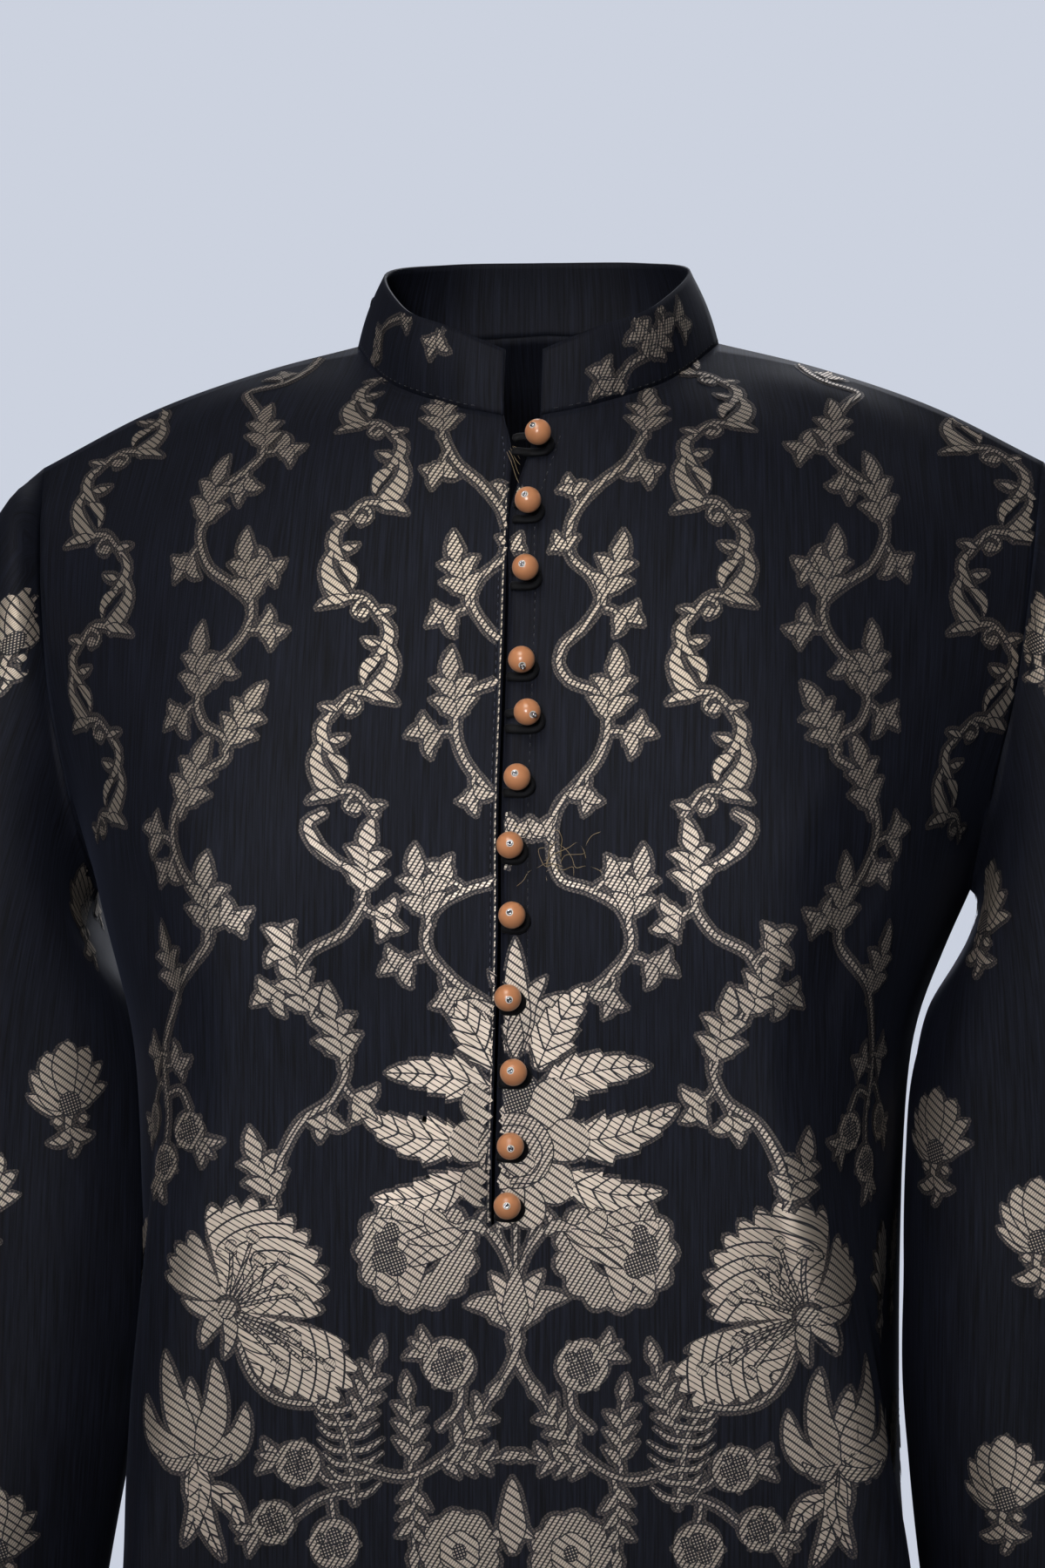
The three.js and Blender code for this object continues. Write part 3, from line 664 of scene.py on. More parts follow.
def edge_of(armhole: tuple, rows: Array) -> Array:
    """The outer edge of half a panel: armhole, then side seam."""
    upper = along(*armhole, np.minimum(rows, ARMHOLE_ROWS))
    lower = along(*SIDE, np.maximum(rows, ARMHOLE_ROWS))
    return np.where((rows <= ARMHOLE_ROWS)[:, None], upper, lower)


def half_panel(
    columns: Array,
    stations: Numbers,
    sections: dict[int, list[Point]],
    top: Array,
    armhole: tuple,
) -> Array:
    """Half a panel: a curve across each section, then a curve down each column.

    Args:
        columns: the columns to read, from the middle to the edge.
        stations: at which columns a section's points stand.
        sections: each section's points by row.
        top: the upper seam's points, one for each column.
        armhole: the armhole curve.

    Returns:
        Rows by columns by three, in millimetres.
    """
    across = [top]
    for row, points in sections.items():
        edge = edge_of(armhole, np.array([float(row)]))[0]
        across.append(along(stations, [*points, edge], columns))
    grid = along([0, *sections], np.array(across), TRUNK_ROWS)
    grid[:, -1] = edge_of(armhole, TRUNK_ROWS)
    return grid


def upper_seam(neck: tuple, neck_columns: int, columns: Array) -> Array:
    """Neck seam, then shoulder seam, read at the columns."""
    on_neck = along(*neck, np.minimum(columns, neck_columns))
    on_shoulder = along(*SHOULDER, np.maximum(columns - neck_columns, 0))
    return np.where((columns <= neck_columns)[:, None], on_neck, on_shoulder)


def front_half(handed: int) -> Array:
    """Half the front, from the slit outward; handed is 1 on the viewer's right."""
    columns = fine_steps([COLUMN_SPLIT] * FRONT_COLUMNS)
    sections = {}
    for s in FRONT_SECTIONS:
        swing = s.swing * handed
        slit = (s.slit[0] + handed * s.line, s.slit[1], s.slit[2])
        swung = ((s.mid, 0.7), (s.crest, 1), (s.turn, 1), (s.valley, 0.4))
        sections[s.row] = [slit, s.inner, *((p[0] + swing * part, p[1], p[2]) for p, part in swung)]
    top = upper_seam(NECK_FRONT, FRONT_NECK, columns)
    half = half_panel(columns, FRONT_STATIONS, sections, top, ARMHOLE_FRONT)
    half[..., 0] *= handed
    return leaned(half)


def back_half(handed: int) -> Array:
    """Half the back, from its middle outward."""
    columns = fine_steps([COLUMN_SPLIT] * BACK_COLUMNS)
    sections = {s.row: [s.centre, s.inner, s.mid, s.blade, s.turn, s.near] for s in BACK_SECTIONS}
    top = upper_seam(NECK_BACK, BACK_NECK, columns)
    half = half_panel(columns, BACK_STATIONS, sections, top, ARMHOLE_BACK)
    half[..., 0] *= handed
    return leaned(half)


def side_reach(y: Array, z: Array) -> Array:
    """How far out the side of the trunk reaches at a depth and height."""
    rows = np.arange(ARMHOLE_ROWS, ROWS + 0.25, 0.5)
    points = along(*SIDE, rows)
    x = np.interp(-z, -points[:, 2], points[:, 0])
    return x - np.where(y < 10, 0.0012, 0.004) * (y - 10) ** 2


SLEEVE_STEPS = fine_steps([3] * 2 + [5] * 8 + [6] * 4 + [7] * 3 + [8] * 3)


def sleeve_rings(handed: int) -> Array:
    """One sleeve's rings, in column order from the inner seam by the front and the outer side and back."""
    rise = fine_steps([5] * ARMHOLE_ROWS)
    # turn 0 is the top of the armhole, 180 is under the arm
    turns = np.concatenate([rise / ARMHOLE_ROWS * 180, 360 - rise[-2::-1] / ARMHOLE_ROWS * 180])
    first = np.concatenate([along(*ARMHOLE_FRONT, rise), along(*ARMHOLE_BACK, rise[-2::-1])])
    rings = [first]
    for s in SLEEVE_RINGS:
        angle = np.radians(turns)
        folds = np.zeros_like(turns)
        for f in SLEEVE_FOLDS:
            span = min(1.0, max(0.0, (s.row - f.start) / (f.end - f.start)))
            away = ((turns - f.turn - f.drift * span + 540) % 360) - 180
            folds += f.depth * math.sin(math.pi * span) * np.exp(-((away / f.width) ** 2))
        reach = 1 + folds / s.half
        ends = np.array([s.outer, s.inner])
        middle = ends.mean(axis=0)
        out = ends[0] - middle
        y = s.depth - s.half * np.sin(angle) * reach
        x, z = middle[:, None] + out[:, None] * np.cos(angle) * reach
        if s.row >= 3:
            x = np.maximum(x, side_reach(y, z) + SIDE_CLEAR)
        if handed < 0:
            x = x + s.away
        rings.append(np.stack([x, y, z], axis=-1))
    grid = along([0, *[s.row for s in SLEEVE_RINGS]], np.array(rings), SLEEVE_STEPS)
    grid[..., 0] *= handed
    return leaned(grid)


def collar_rows() -> Array:
    """The collar from its upper edge to the neck seam, from the front's left end round the back."""
    spots = np.concatenate([fine_steps([4] * FRONT_NECK), fine_steps([4] * BACK_NECK)[1:] + FRONT_NECK])
    low = np.where(
        (spots <= FRONT_NECK)[:, None],
        along(*NECK_FRONT, np.minimum(spots, FRONT_NECK)),
        along(*NECK_BACK, np.clip(FRONT_NECK + BACK_NECK - spots, 0, BACK_NECK)),
    )
    high = along(*COLLAR_TOP, spots)
    lines = []
    for up in np.linspace(1, 0, 13):
        p = low + (high - low) * up
        away = np.maximum(np.hypot(p[:, 0], p[:, 1]), 1e-6)[:, None]
        bulge = 1.2 * math.sin(math.pi * up)
        p[:, :2] += bulge * p[:, :2] / away
        mirrored = p * np.array([-1, 1, 1])
        lines.append(np.concatenate([p, mirrored[::-1][1:]]))
    return np.array(lines)


# Cloth


def grid_normals(grid: Array) -> Array:
    """Outward directions of a grid that runs left to right and downward as seen from outside."""
    return unit(np.cross(np.gradient(grid, axis=0), np.gradient(grid, axis=1)))


def lay_uv(mesh: bpy.types.Mesh, places: Array) -> None:
    """Writes each vertex's cloth coordinates, in metres, as the UV map cloth."""
    corners = np.empty(len(mesh.loops), np.int64)
    mesh.loops.foreach_get("vertex_index", corners)
    layer = mesh.uv_layers.new(name="cloth")
    layer.data.foreach_set("uv", places[corners].astype(np.float32).ravel())


def sewn(name: str, bm: Shape, finish: Material) -> Mesh:
    """Makes a finished bmesh an object of the scene, on the body.

    Args:
        name: the new object's name.
        bm: its mesh, which is freed.
        finish: its material.

    Returns:
        The object.
    """
    mesh = bpy.data.meshes.new(name)
    bm.to_mesh(mesh)
    bm.free()
    mesh.materials.append(finish)
    mesh.shade_smooth()
    made = bpy.data.objects.new(name, mesh)
    bpy.context.scene.collection.objects.link(made)
    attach(made, BODY)
    return made


class Crease(NamedTuple):
    """A soft trough or ridge between two places on the cloth, in millimetres of cloth."""

    u0: float
    v0: float
    u1: float
    v1: float
    width: float
    depth: float
    bow: float = 0.0
    lean: float = 0.0


@dataclass
class ClothPiece:
    """A cut piece of cloth: its fine grid, cloth coordinates and the finished mesh."""

    name: str
    grid: Array
    halves: tuple[list[int], list[int]]
    slit_low: float | None = None
    thickness: float = 0.8
    creases: tuple[Crease, ...] = ()
    datum: float = -45.0
    anchor: float | None = None
    chart: Array = field(init=False)

    def __post_init__(self) -> None:
        """Lays out the cloth coordinates and works the creases in."""
        self.rise = self.lay_heights()
        self.chart = self.lay_chart()
        self.press()

    def lay_heights(self) -> Array:
        """V at each point: height, and above the datum the length along the cloth."""
        z = self.grid[..., 2]
        run = run_down(self.grid)
        rise = z.copy()
        for c in range(z.shape[1]):
            at_datum = np.interp(-self.datum, -z[:, c], run[:, c])
            above = z[:, c] > self.datum
            rise[above, c] = self.datum + at_datum - run[above, c]
        return rise

    def level(self, v: float, columns: list[int], grid: Array) -> Array:
        """Points of the given columns at one height of the cloth."""
        return np.array([[np.interp(-v, -self.rise[:, c], grid[:, c, a]) for a in range(3)] for c in columns])

    def lay_chart(self) -> Array:
        """U and V at each point of the grid, U measured across from the middle."""
        top = self.rise[0]
        low = self.rise[-1].max()
        levels = np.arange(low, top.max() + 2.5, 2.5)
        u_at = np.zeros((len(levels), self.grid.shape[1]))
        for side, columns in zip((-1, 1), self.halves):
            before = None
            for k, v in enumerate(levels):
                points = self.level(v, columns, self.grid)
                open_ = top[columns] >= v - 1e-6
                steps = np.linalg.norm(np.diff(points, axis=0), axis=-1)
                if before is None or open_[0]:
                    first = 0
                    start = points[0, 0] if self.anchor is None else self.anchor
                elif open_.any():
                    first = int(np.argmax(open_))
                    start = before[first]
                else:
                    u_at[k, columns] = before
                    continue
                line = np.empty(len(columns))
                line[first] = start
                line[first + 1 :] = start + side * np.cumsum(steps[first:])
                if first:
                    line[:first] = before[:first]
                u_at[k, columns] = line
                before = line
        chart = np.empty(self.grid.shape[:2] + (2,))
        chart[..., 1] = self.rise
        for c in range(self.grid.shape[1]):
            chart[:, c, 0] = np.interp(self.rise[:, c], levels, u_at[:, c])
        return chart

    def press(self) -> None:
        """Moves the points out or in where a crease runs."""
        normal = grid_normals(self.grid)
        u, v = self.chart[..., 0], self.chart[..., 1]
        push = np.zeros(u.shape)
        for c in self.creases:
            du, dv = c.u1 - c.u0, c.v1 - c.v0
            length = math.hypot(du, dv)
            t = ((u - c.u0) * du + (v - c.v0) * dv) / length**2
            off = ((u - c.u0) * dv - (v - c.v0) * du) / length - c.bow * np.sin(np.pi * np.clip(t, 0, 1))
            width = c.width * np.where(off > 0, 1 + c.lean, 1 - c.lean)
            ends = ease(t / 0.3) * ease((1 - t) / 0.3)
            push += c.depth * np.exp(-((off / width) ** 2)) * ends
        self.grid = self.grid + normal * (push * self.edge_room())[..., None]

    def edge_room(self) -> Array:
        """0 at the sewn edges of the piece, 1 well inside it and at the hem."""
        rows = np.linalg.norm(self.grid - self.grid[:1], axis=-1)
        sides = np.minimum(
            np.linalg.norm(self.grid - self.grid[:, :1], axis=-1),
            np.linalg.norm(self.grid - self.grid[:, -1:], axis=-1),
        )
        return ease(rows / 18) * ease(sides / 14)

    def build(self, material: Material) -> Mesh:
        """Makes the cloth shell.

        Args:
            material: the ground cloth.

        Returns:
            The finished object, riding on the body.
        """
        rows, columns = self.grid.shape[:2]
        bm = bmesh.new()
        bmesh.ops.create_grid(bm, x_segments=columns - 1, y_segments=rows - 1, size=1.0)
        bm.verts.ensure_lookup_table()
        # create_grid lays the points out row by row, from the lowest y up; the first row is the hem
        for vert, spot in zip(bm.verts, self.grid[::-1].reshape(-1, 3) * MM):
            vert.co = spot
        if self.slit_low is not None:
            self.open_slit(bm, columns)
        piece = sewn(self.name + "_cloth", bm, material)
        lay_uv(piece.data, self.chart[::-1].reshape(-1, 2) * MM)
        if self.closes():
            weld = bmesh.new()
            weld.from_mesh(piece.data)
            bmesh.ops.remove_doubles(weld, verts=weld.verts, dist=1e-5)
            weld.to_mesh(piece.data)
            weld.free()
        shell = piece.modifiers.new("thickness", "SOLIDIFY")
        shell.thickness = self.thickness * MM
        shell.offset = 0.0
        shell.use_even_offset = False
        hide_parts(self.name)
        return piece

    def slit_at(self, v: Array) -> tuple[Array, Array]:
        """U of the two slit edges at heights of the cloth."""
        edges = [self.chart[:, half[0]] for half in self.halves]
        return tuple(np.interp(-v, -e[:, 1], e[:, 0]) for e in edges)

    def beside_slit(self, u: Array, v: Array) -> Array:
        """False in the open slit."""
        if self.slit_low is None:
            return np.ones(u.shape, bool)
        left, right = self.slit_at(v)
        return (u < left - 0.3) | (u > right + 0.3) | (v < self.slit_low)

    def left_of_slit(self, u: Array, v: Array) -> Array:
        """True on the viewer's left of the slit line."""
        if self.slit_low is None:
            return np.zeros(u.shape, bool)
        left, right = self.slit_at(v)
        return u < (left + right) / 2

    def closes(self) -> bool:
        """True where the first and last columns are one seam, as on a sleeve."""
        return bool(np.allclose(self.grid[:, 0], self.grid[:, -1], atol=1e-3))

    def open_slit(self, bm: Shape, columns: int) -> None:
        """Takes out the faces between the two edges of the slit."""
        left = columns // 2 - 1
        gone = []
        for face in bm.faces:
            between = {v.index % columns for v in face.verts} == {left, left + 1}
            if between and min(v.co.z for v in face.verts) > self.slit_low * MM - 1e-6:
                gone.append(face)
        bmesh.ops.delete(bm, geom=gone, context="FACES_ONLY")


# Brocade: gold weft figures laid out in millimetres of cloth, u across and v up


def trace(points: Places, step: float = 2.4) -> Array:
    """Even points along a smooth line, three at least.

    Args:
        points: the places that the line passes through.
        step: spacing of the points.

    Returns:
        The points, as rows of u and v.
    """
    spots = np.asarray(points, float)
    run = run_down(spots)
    count = max(3, int(math.ceil(run[-1] / step)) + 1)
    return along(run, spots, np.linspace(0, run[-1], count))


WIDE_RIM = 0.6  # a rim wider than this also goes round the stroke's ends


def pointed(t: Array) -> Array:
    """Half width of a pointed leaf, 0 at the tip and widest below the middle."""
    near = np.sin(np.pi / 2 * np.clip(t / 0.38, 0, 1)) ** 0.8
    return np.where(t < 0.38, near, ((1 - t) / 0.62) ** 0.62)


def rounded(t: Array) -> Array:
    """Half width of a round-ended petal."""
    low = np.clip(t / 0.62, 0, 1) ** 0.6
    high = np.sqrt(np.clip(1 - ((t - 0.62) / 0.38) ** 2, 0, 1))
    return np.where(t < 0.62, low, high)


@dataclass
class Blade:
    """One stroke of the figure: a line with an edge to each side of it."""

    spine: Array
    inner: Array
    outer: Array
    fill: Fill
    layer: int
    halo: float

    def moved(self, at: Numbers, turn: float, size: float, flip: bool) -> "Blade":
        """The stroke turned, sized, flipped and set at a place."""
        spine = self.spine * size
        inner, outer = self.inner * size, self.outer * size
        if flip:
            spine = spine * np.array([-1, 1])
            inner, outer = -outer, -inner
        c, s = math.cos(math.radians(turn)), math.sin(math.radians(turn))
        spine = spine @ np.array([[c, s], [-s, c]]) + np.asarray(at, float)
        return replace(self, spine=spine, inner=inner, outer=outer)

    def surface(self, spread: float, finest: float) -> tuple[Array, Array]:
        """Lays the stroke out as a strip.

        Args:
            spread: how far the strip goes past each edge.
            finest: widest cell across.

        Returns:
            Places (across, along, 2) and rib values (edge distance, run, distance from the line).
        """
        spine = self.spine
        inner, outer = self.inner - spread, self.outer + spread
        if spread > WIDE_RIM:
            start, end = unit(spine[0] - spine[1]), unit(spine[-1] - spine[-2])
            reach = spread * 0.8
            spine = np.concatenate([[spine[0] + start * reach], spine, [spine[-1] + end * reach]])
            inner, outer = (np.concatenate([[e[0] * 0.45], e, [e[-1] * 0.45]]) for e in (inner, outer))
        way = unit(np.gradient(spine, axis=0))
        left = np.stack([-way[:, 1], way[:, 0]], axis=1)
        widest = float((outer - inner).max())
        cells = max(2, int(math.ceil(widest / finest)))
        cells += cells % 2
        share = np.linspace(0, 1, cells + 1)[:, None]
        off = inner[None] * (1 - share) + outer[None] * share
        places = spine[None] + off[..., None] * left[None]
        run = np.broadcast_to(run_down(spine)[None], off.shape)
        edge = np.minimum(off - inner[None], outer[None] - off)
        return places, np.stack([edge, run, np.abs(off)], axis=-1)


@dataclass
class Figure:
    """A woven figure: strokes in its own place, to be set on the cloth."""

    blades: list[Blade] = field(default_factory=list)

    def add(
        self,
        other: "Figure",
        at: Numbers = (0, 0),
        turn: float = 0,
        size: float = 1,
        flip: bool = False,
    ) -> None:
        """Sets another figure on this one.

        Args:
            other: the figure to set.
            at: where its origin goes.
            turn: degrees, anticlockwise.
            size: scale.
            flip: mirrored left to right before it is turned.
        """
        self.blades += [b.moved(at, turn, size, flip) for b in other.blades]

    def mirrored(self, axis: float) -> "Figure":
        """The figure mirrored about an upright line."""
        return Figure([b.moved((2 * axis, 0), 0, 1, True) for b in self.blades])

    def band(
        self,
        points: Places,
        widths: Numbers,
        fill: Fill = HATCH,
        layer: int = 1,
        halo: float = 1.7,
        step: float = 2.4,
    ) -> None:
        """A line of changing width.

        Args:
            points: where it runs.
            widths: its full width at even shares of its length.
            fill: how it is bound.
            layer: higher ones lie on lower ones.
            halo: width of the sparse rim.
            step: spacing of its points.
        """
        spine = trace(points, step)
        t = np.linspace(0, 1, len(spine))
        half = np.interp(t, np.linspace(0, 1, len(widths)), widths) / 2
        self.blades.append(Blade(spine, -half, half, fill, layer, halo))

    def leaf(
        self,
        base: Numbers,
        tip: Numbers,
        width: float,
        bow: float = 0.1,
        fill: Fill = HATCH,
        layer: int = 2,
        halo: float = 1.7,
        shape: Callable[[Array], Array] = pointed,
    ) -> None:
        """A leaf or petal from its base to its tip, bowed to the left by a share of its length."""
        base, tip = np.asarray(base, float), np.asarray(tip, float)
        axis = tip - base
        length = float(np.linalg.norm(axis))
        count = 6 if length < 7 else 8 if length < 16 else 12
        t = np.linspace(0, 1, count)
        if shape is rounded:
            t = 1 - (1 - t) ** 1.5
        side = np.array([-axis[1], axis[0]])
        spine = base + axis * t[:, None] + side * (bow * np.sin(np.pi * t))[:, None]
        half = width / 2 * shape(t)
        half[0] = max(half[0], width * 0.12)
        self.blades.append(Blade(spine, -half, half, fill, layer, halo))

    def disc(
        self, centre: Numbers, radius: float, fill: Fill = HATCH, layer: int = 2, halo: float = 1.6
    ) -> None:
        """A round spot."""
        turn = np.linspace(0, np.pi, 7 if radius < 4 else 11)
        spine = np.stack([centre[0] - radius * np.cos(turn), np.full(turn.shape, float(centre[1]))], axis=1)
        half = radius * np.sin(turn)
        self.blades.append(Blade(spine, -half, half, fill, layer, halo))

    def jagged(self, base: Numbers, tip: Numbers, width: float, bow: float) -> None:
        """A large leaf in two halves with a dark midrib and toothed edges."""
        teeth = 5
        base, tip = np.asarray(base, float), np.asarray(tip, float)
        axis = tip - base
        t = np.concatenate([(k + np.array([0.0, 0.45, 0.93])) / teeth for k in range(teeth)] + [[1.0]])
        tooth = np.concatenate([np.tile([0.84, 0.98, 1.14], teeth), [0.3]])
        side = np.array([-axis[1], axis[0]])
        spine = base + axis * t[:, None] + side * (bow * np.sin(np.pi * t))[:, None]
        half = width / 2 * pointed(t) * tooth
        half[0] = width * 0.1
        gap = np.minimum(0.1, half)
        self.blades.append(Blade(spine, gap, half, VEIN, 2, 1.4))
        self.blades.append(Blade(spine, -half, -gap, VEIN, 2, 1.4))

    def fan(
        self,
        knot: Numbers,
        angles: tuple[float, float],
        reach: Numbers,
        scallops: int,
        start: float = 5.0,
        fill: Fill = VEIN,
        layer: int = 1,
        halo: float = 1.7,
    ) -> None:
        """A wing of scallops spread about a knot.

        Args:
            knot: the middle of the turn.
            angles: first and last direction, in degrees.
            reach: outer radius at even shares of the turn.
            scallops: how many scallops the rim has.
            start: inner radius.
            fill: how it is bound.
            layer: higher ones lie on lower ones.
            halo: width of the sparse rim.
        """
        count = scallops * 4 + 1
        t = np.linspace(0, 1, count)
        angle = np.radians(angles[0] + (angles[1] - angles[0]) * t)
        far = np.interp(t, np.linspace(0, 1, len(reach)), reach)
        far = far * (1 - 0.07 + 0.11 * np.abs(np.sin(np.pi * scallops * t)))
        way = np.stack([np.cos(angle), np.sin(angle)], axis=1)
        middle = (start + far.mean()) / 2
        spine = np.asarray(knot, float) + way * middle
        near, away = np.full(count, start - middle), far - middle
        inner, outer = (near, away) if angles[1] < angles[0] else (-away, -near)
        self.blades.append(Blade(spine, inner, outer, fill, layer, halo))


# The figures of the brocade, each drawn once about its own origin


def cluster() -> Figure:
    """Leaves in pairs up a short stem, pointing up."""
    pairs = 2
    f = Figure()
    f.band([(0, 0), (0.4, 5), (0, 6 + 6.5 * pairs)], [1.9, 1.5, 1.0])
    for k in range(pairs):
        y = 3.5 + 6.5 * k
        f.leaf((0.3, y), (7.8 - k * 0.6, y + 6.6), 5.4, 0.18)
        f.leaf((-0.3, y + 1.0), (-7.6 + k * 0.7, y + 7.4), 5.3, -0.18)
    f.leaf((0, 3.5 + 6.5 * pairs), (0.8, 15 + 6.5 * pairs), 6.0, 0.06)
    return f


def trefoil() -> Figure:
    """Three leaves on a short stem, pointing up."""
    f = Figure()
    f.band([(0, 0), (0.8, 3.4), (0.4, 7)], [1.7, 1.4, 1.6])
    f.leaf((0.4, 6.0), (1.6, 16.4), 5.8, -0.12)
    f.leaf((0.3, 5.0), (8.6, 9.4), 5.4, 0.24)
    f.leaf((0.3, 4.6), (-7.6, 8.8), 5.2, -0.24)
    return f


def scroll(start: Numbers, end: Numbers) -> Figure:
    """One half turn of the bracket scroll, from spur to spur."""
    f = Figure()
    f.band([(0.5, 1), (-2.0, -4), (-1.0, -9), (2.8, -13.5)], [1.0, 3.6, 3.8, 0.6], STRIPE)
    f.leaf((0.8, -8.0), (6.2, -6.6), 2.6, -0.1, STRIPE)
    f.band([(-2.0, -8.5), (-3.4, -14), (-1.6, -20), (3.6, -26.4)], [1.2, 4.4, 6.4, 5.0], STRIPE)
    f.leaf((0.6, -13.0), (5.4, -22.5), 4.6, 0.2, STRIPE, layer=3, halo=0.6)
    f.leaf((4.2, -25.8), (-5.6, -28.6), 3.6, -0.1, STRIPE)
    f.band([(3.5, -25.2), (8.6, -25.0), (12.2, -28.4), (16, -33.5)], [2.2, 1.7, 1.7, 2.0])
    f.leaf((13.2, -31.0), (18.6, -29.4), 2.3, 0.05, STRIPE)
    f.band([(9.8, -25.8), (6.8, -27.6), (6.4, -30.2), (8.4, -31.8)], [1.5, 1.4, 1.5], halo=1.0, step=1.5)
    f.disc((9.4, -30.6), 1.9)
    right = end[0] > start[0]
    wide = abs(end[0] - start[0]) / 16
    tall = abs(end[1] - start[1]) / 33
    placed = Figure()
    for b in f.blades:
        stretched = replace(b, spine=b.spine * np.array([wide, tall]))
        placed.blades.append(stretched.moved(start, 0, 1, not right))
    return placed


def peony() -> Figure:
    """A full flower seen from the side, its stem coming from the right; about 41 mm across."""
    f = Figure()
    f.fan((0, 0), (0, 360), [20.5, 19.5, 21, 20, 20.5], 13, 9.0, HATCH)
    for x, y, r in ((-11, 2, 4.4), (-7.5, -4.5, 4.2), (-12.5, -4.0, 3.4), (-9.0, 6.5, 3.0)):
        f.disc((x, y), r, FINE, 6, 0.0)
    for tip, width, bow in (
        ((-8, 15.5), 10.5, 0.20),
        ((-15.5, 10), 8.0, 0.12),
        ((-13, -14.5), 10.0, -0.18),
        ((-3, -17.5), 9.5, -0.24),
        ((4, 14.5), 8.0, 0.26),
    ):
        f.leaf((17.5, 8.0), tip, width, bow, STRIPE, 4, 0.0, rounded)
    for tip in ((-3.5, 3.0), (-3.0, -5.5)):
        f.leaf((17.0, 7.6), tip, 5.2, 0.06, STRIPE, 5, 0.0)
    f.band([(24, 6.5), (20.5, 9.2), (15, 8.2)], [2.4, 4.4, 2.0], HATCH, 6, 0.8)
    f.leaf((21.5, 8.8), (24.5, 14.5), 2.2, 0.1)
    return f


def bud(radius: float) -> Figure:
    """A round seed head, its crown pointing up."""
    f = Figure()
    f.disc((0, 0), radius, HATCH, 2)
    seeds = ((-2.6, 2.0, 2.5), (2.4, 2.4, 2.5), (0, -2.6, 2.8), (-4.6, -2.2, 1.7), (4.7, -1.8, 1.7))
    for x, y, r in seeds:
        f.disc((x * radius / 8.6, y * radius / 8.6), r * radius / 8.6, FINE, 3, 0.0)
    f.leaf((-1, radius - 1), (-6.4, radius + 5.4), 3.6, -0.1)
    f.leaf((1, radius - 1), (5.6, radius + 5.8), 3.6, 0.1)
    f.leaf((0, radius - 1), (0, radius + 6.6), 3.2, 0)
    return f


def rosette() -> Figure:
    """A flower seen from above, 28 mm across."""
    f = Figure()
    f.fan((0, 0), (0, 360), [14.0] * 2, 9, 4.6, HATCH)
    f.fan((0, 0), (0, 360), [7.0] * 2, 6, 2.0, STRIPE, 3, 0.0)
    f.disc((0, 0), 2.6, FINE, 4, 0.0)
    return f


def rose() -> Figure:
    """The open rose of the middle bouquet, about 46 by 55 mm."""
    f = Figure()
    outer = (
        ((2, 6), (17, 24), 15.0),
        ((-2, 6), (-15, 22), 14.0),
        ((5, 0), (25, 7), 15.0),
        ((-5, 0), (-22, 6), 15.5),
        ((5, -4), (20, -15), 14.5),
        ((-5, -4), (-18, -17), 14.5),
        ((0, -6), (8, -27), 13.5),
        ((0, -6), (-8, -27), 13.0),
    )
    for k, (base, tip, width) in enumerate(outer):
        f.leaf(base, tip, width, 0.08 if k % 2 else -0.08, STRIPE, 3 + k % 2, 1.2, rounded)
    f.leaf((0, 4), (0, 27), 17, 0, FINE, 2, 1.0, rounded)
    f.disc((0, -1), 13.0, HATCH, 5, 0.0)
    curl = [(-11.5, 2), (-5, 9.5), (5, 9), (11.5, 0), (8, -9.5), (-2, -11.5)]
    f.band(curl, [2.4, 4.0, 4.0, 3.4, 1.6], HATCH, 7, 0.0)
    f.leaf((-7, 1), (7, -4), 8.0, -0.22, STRIPE, 6, 0.0, rounded)
    f.leaf((-4, -3), (5, -7), 4.6, -0.25, STRIPE, 7, 0.0, rounded)
    f.leaf((-9, -4), (-1, -12), 5.5, -0.3, STRIPE, 6, 0.0, rounded)
    return f


def bouquet() -> Figure:
    """Rose, toothed leaves, tall bract and the stems below it, about the rose's middle."""
    f = Figure()
    for base, tip, width in (
        ((-8, 28), (-24.5, 54), 15.0),
        ((-9, 21), (-45.5, 26), 14.5),
        ((-16, 3), (-54.5, 12), 15.5),
        ((-15, -9), (-50, -18), 13.0),
    ):
        bow = 0.1 if tip[1] < 20 else -0.05
        f.jagged(base, tip, width, bow)
        f.jagged((-base[0], base[1]), (-tip[0] * 1.04, tip[1] + 3), width, -bow)
    f.add(rose())
    f.leaf((-2, 34), (-9, 62), 8.5, -0.12, STRIPE, 3, 1.2)
    f.leaf((2, 34), (11, 60), 8.5, 0.12, STRIPE, 3, 1.2)
    f.leaf((4, 34), (20, 54), 7.0, 0.2, STRIPE, 2, 1.2)
    f.leaf((-4, 34), (-17, 52), 7.0, -0.2, STRIPE, 2, 1.2)
    f.leaf((0, 32), (0, 73), 11.0, 0, STRIPE, 4, 1.2)
    f.leaf((0, 32), (0, 50), 6.0, 0, HATCH, 5, 0.4)
    for x in (-3.6, 0.0, 3.6):
        f.band([(x * 1.9, -27), (x, -36), (x * 0.25, -47)], [1.5, 1.3, 1.2], layer=1, halo=1.0)
    return f


def cup() -> Figure:
    """The leaf cup below the bouquet, about its middle."""
    f = Figure()
    f.leaf((0, -10), (0, 13), 9.0, 0, HATCH, 4, 0.6)
    f.leaf((-1, -9), (-8.5, 10), 8.0, -0.1, STRIPE, 3)
    f.leaf((1, -9), (9.5, 11), 8.0, 0.1, STRIPE, 3)
    f.leaf((-1, -9), (-17.5, -1), 9.0, -0.22, HATCH, 2)
    f.leaf((1, -9), (18.5, 2), 9.0, 0.22, HATCH, 2)
    f.band([(0, -8), (0, -16)], [4.5, 2.4], layer=1)
    return f


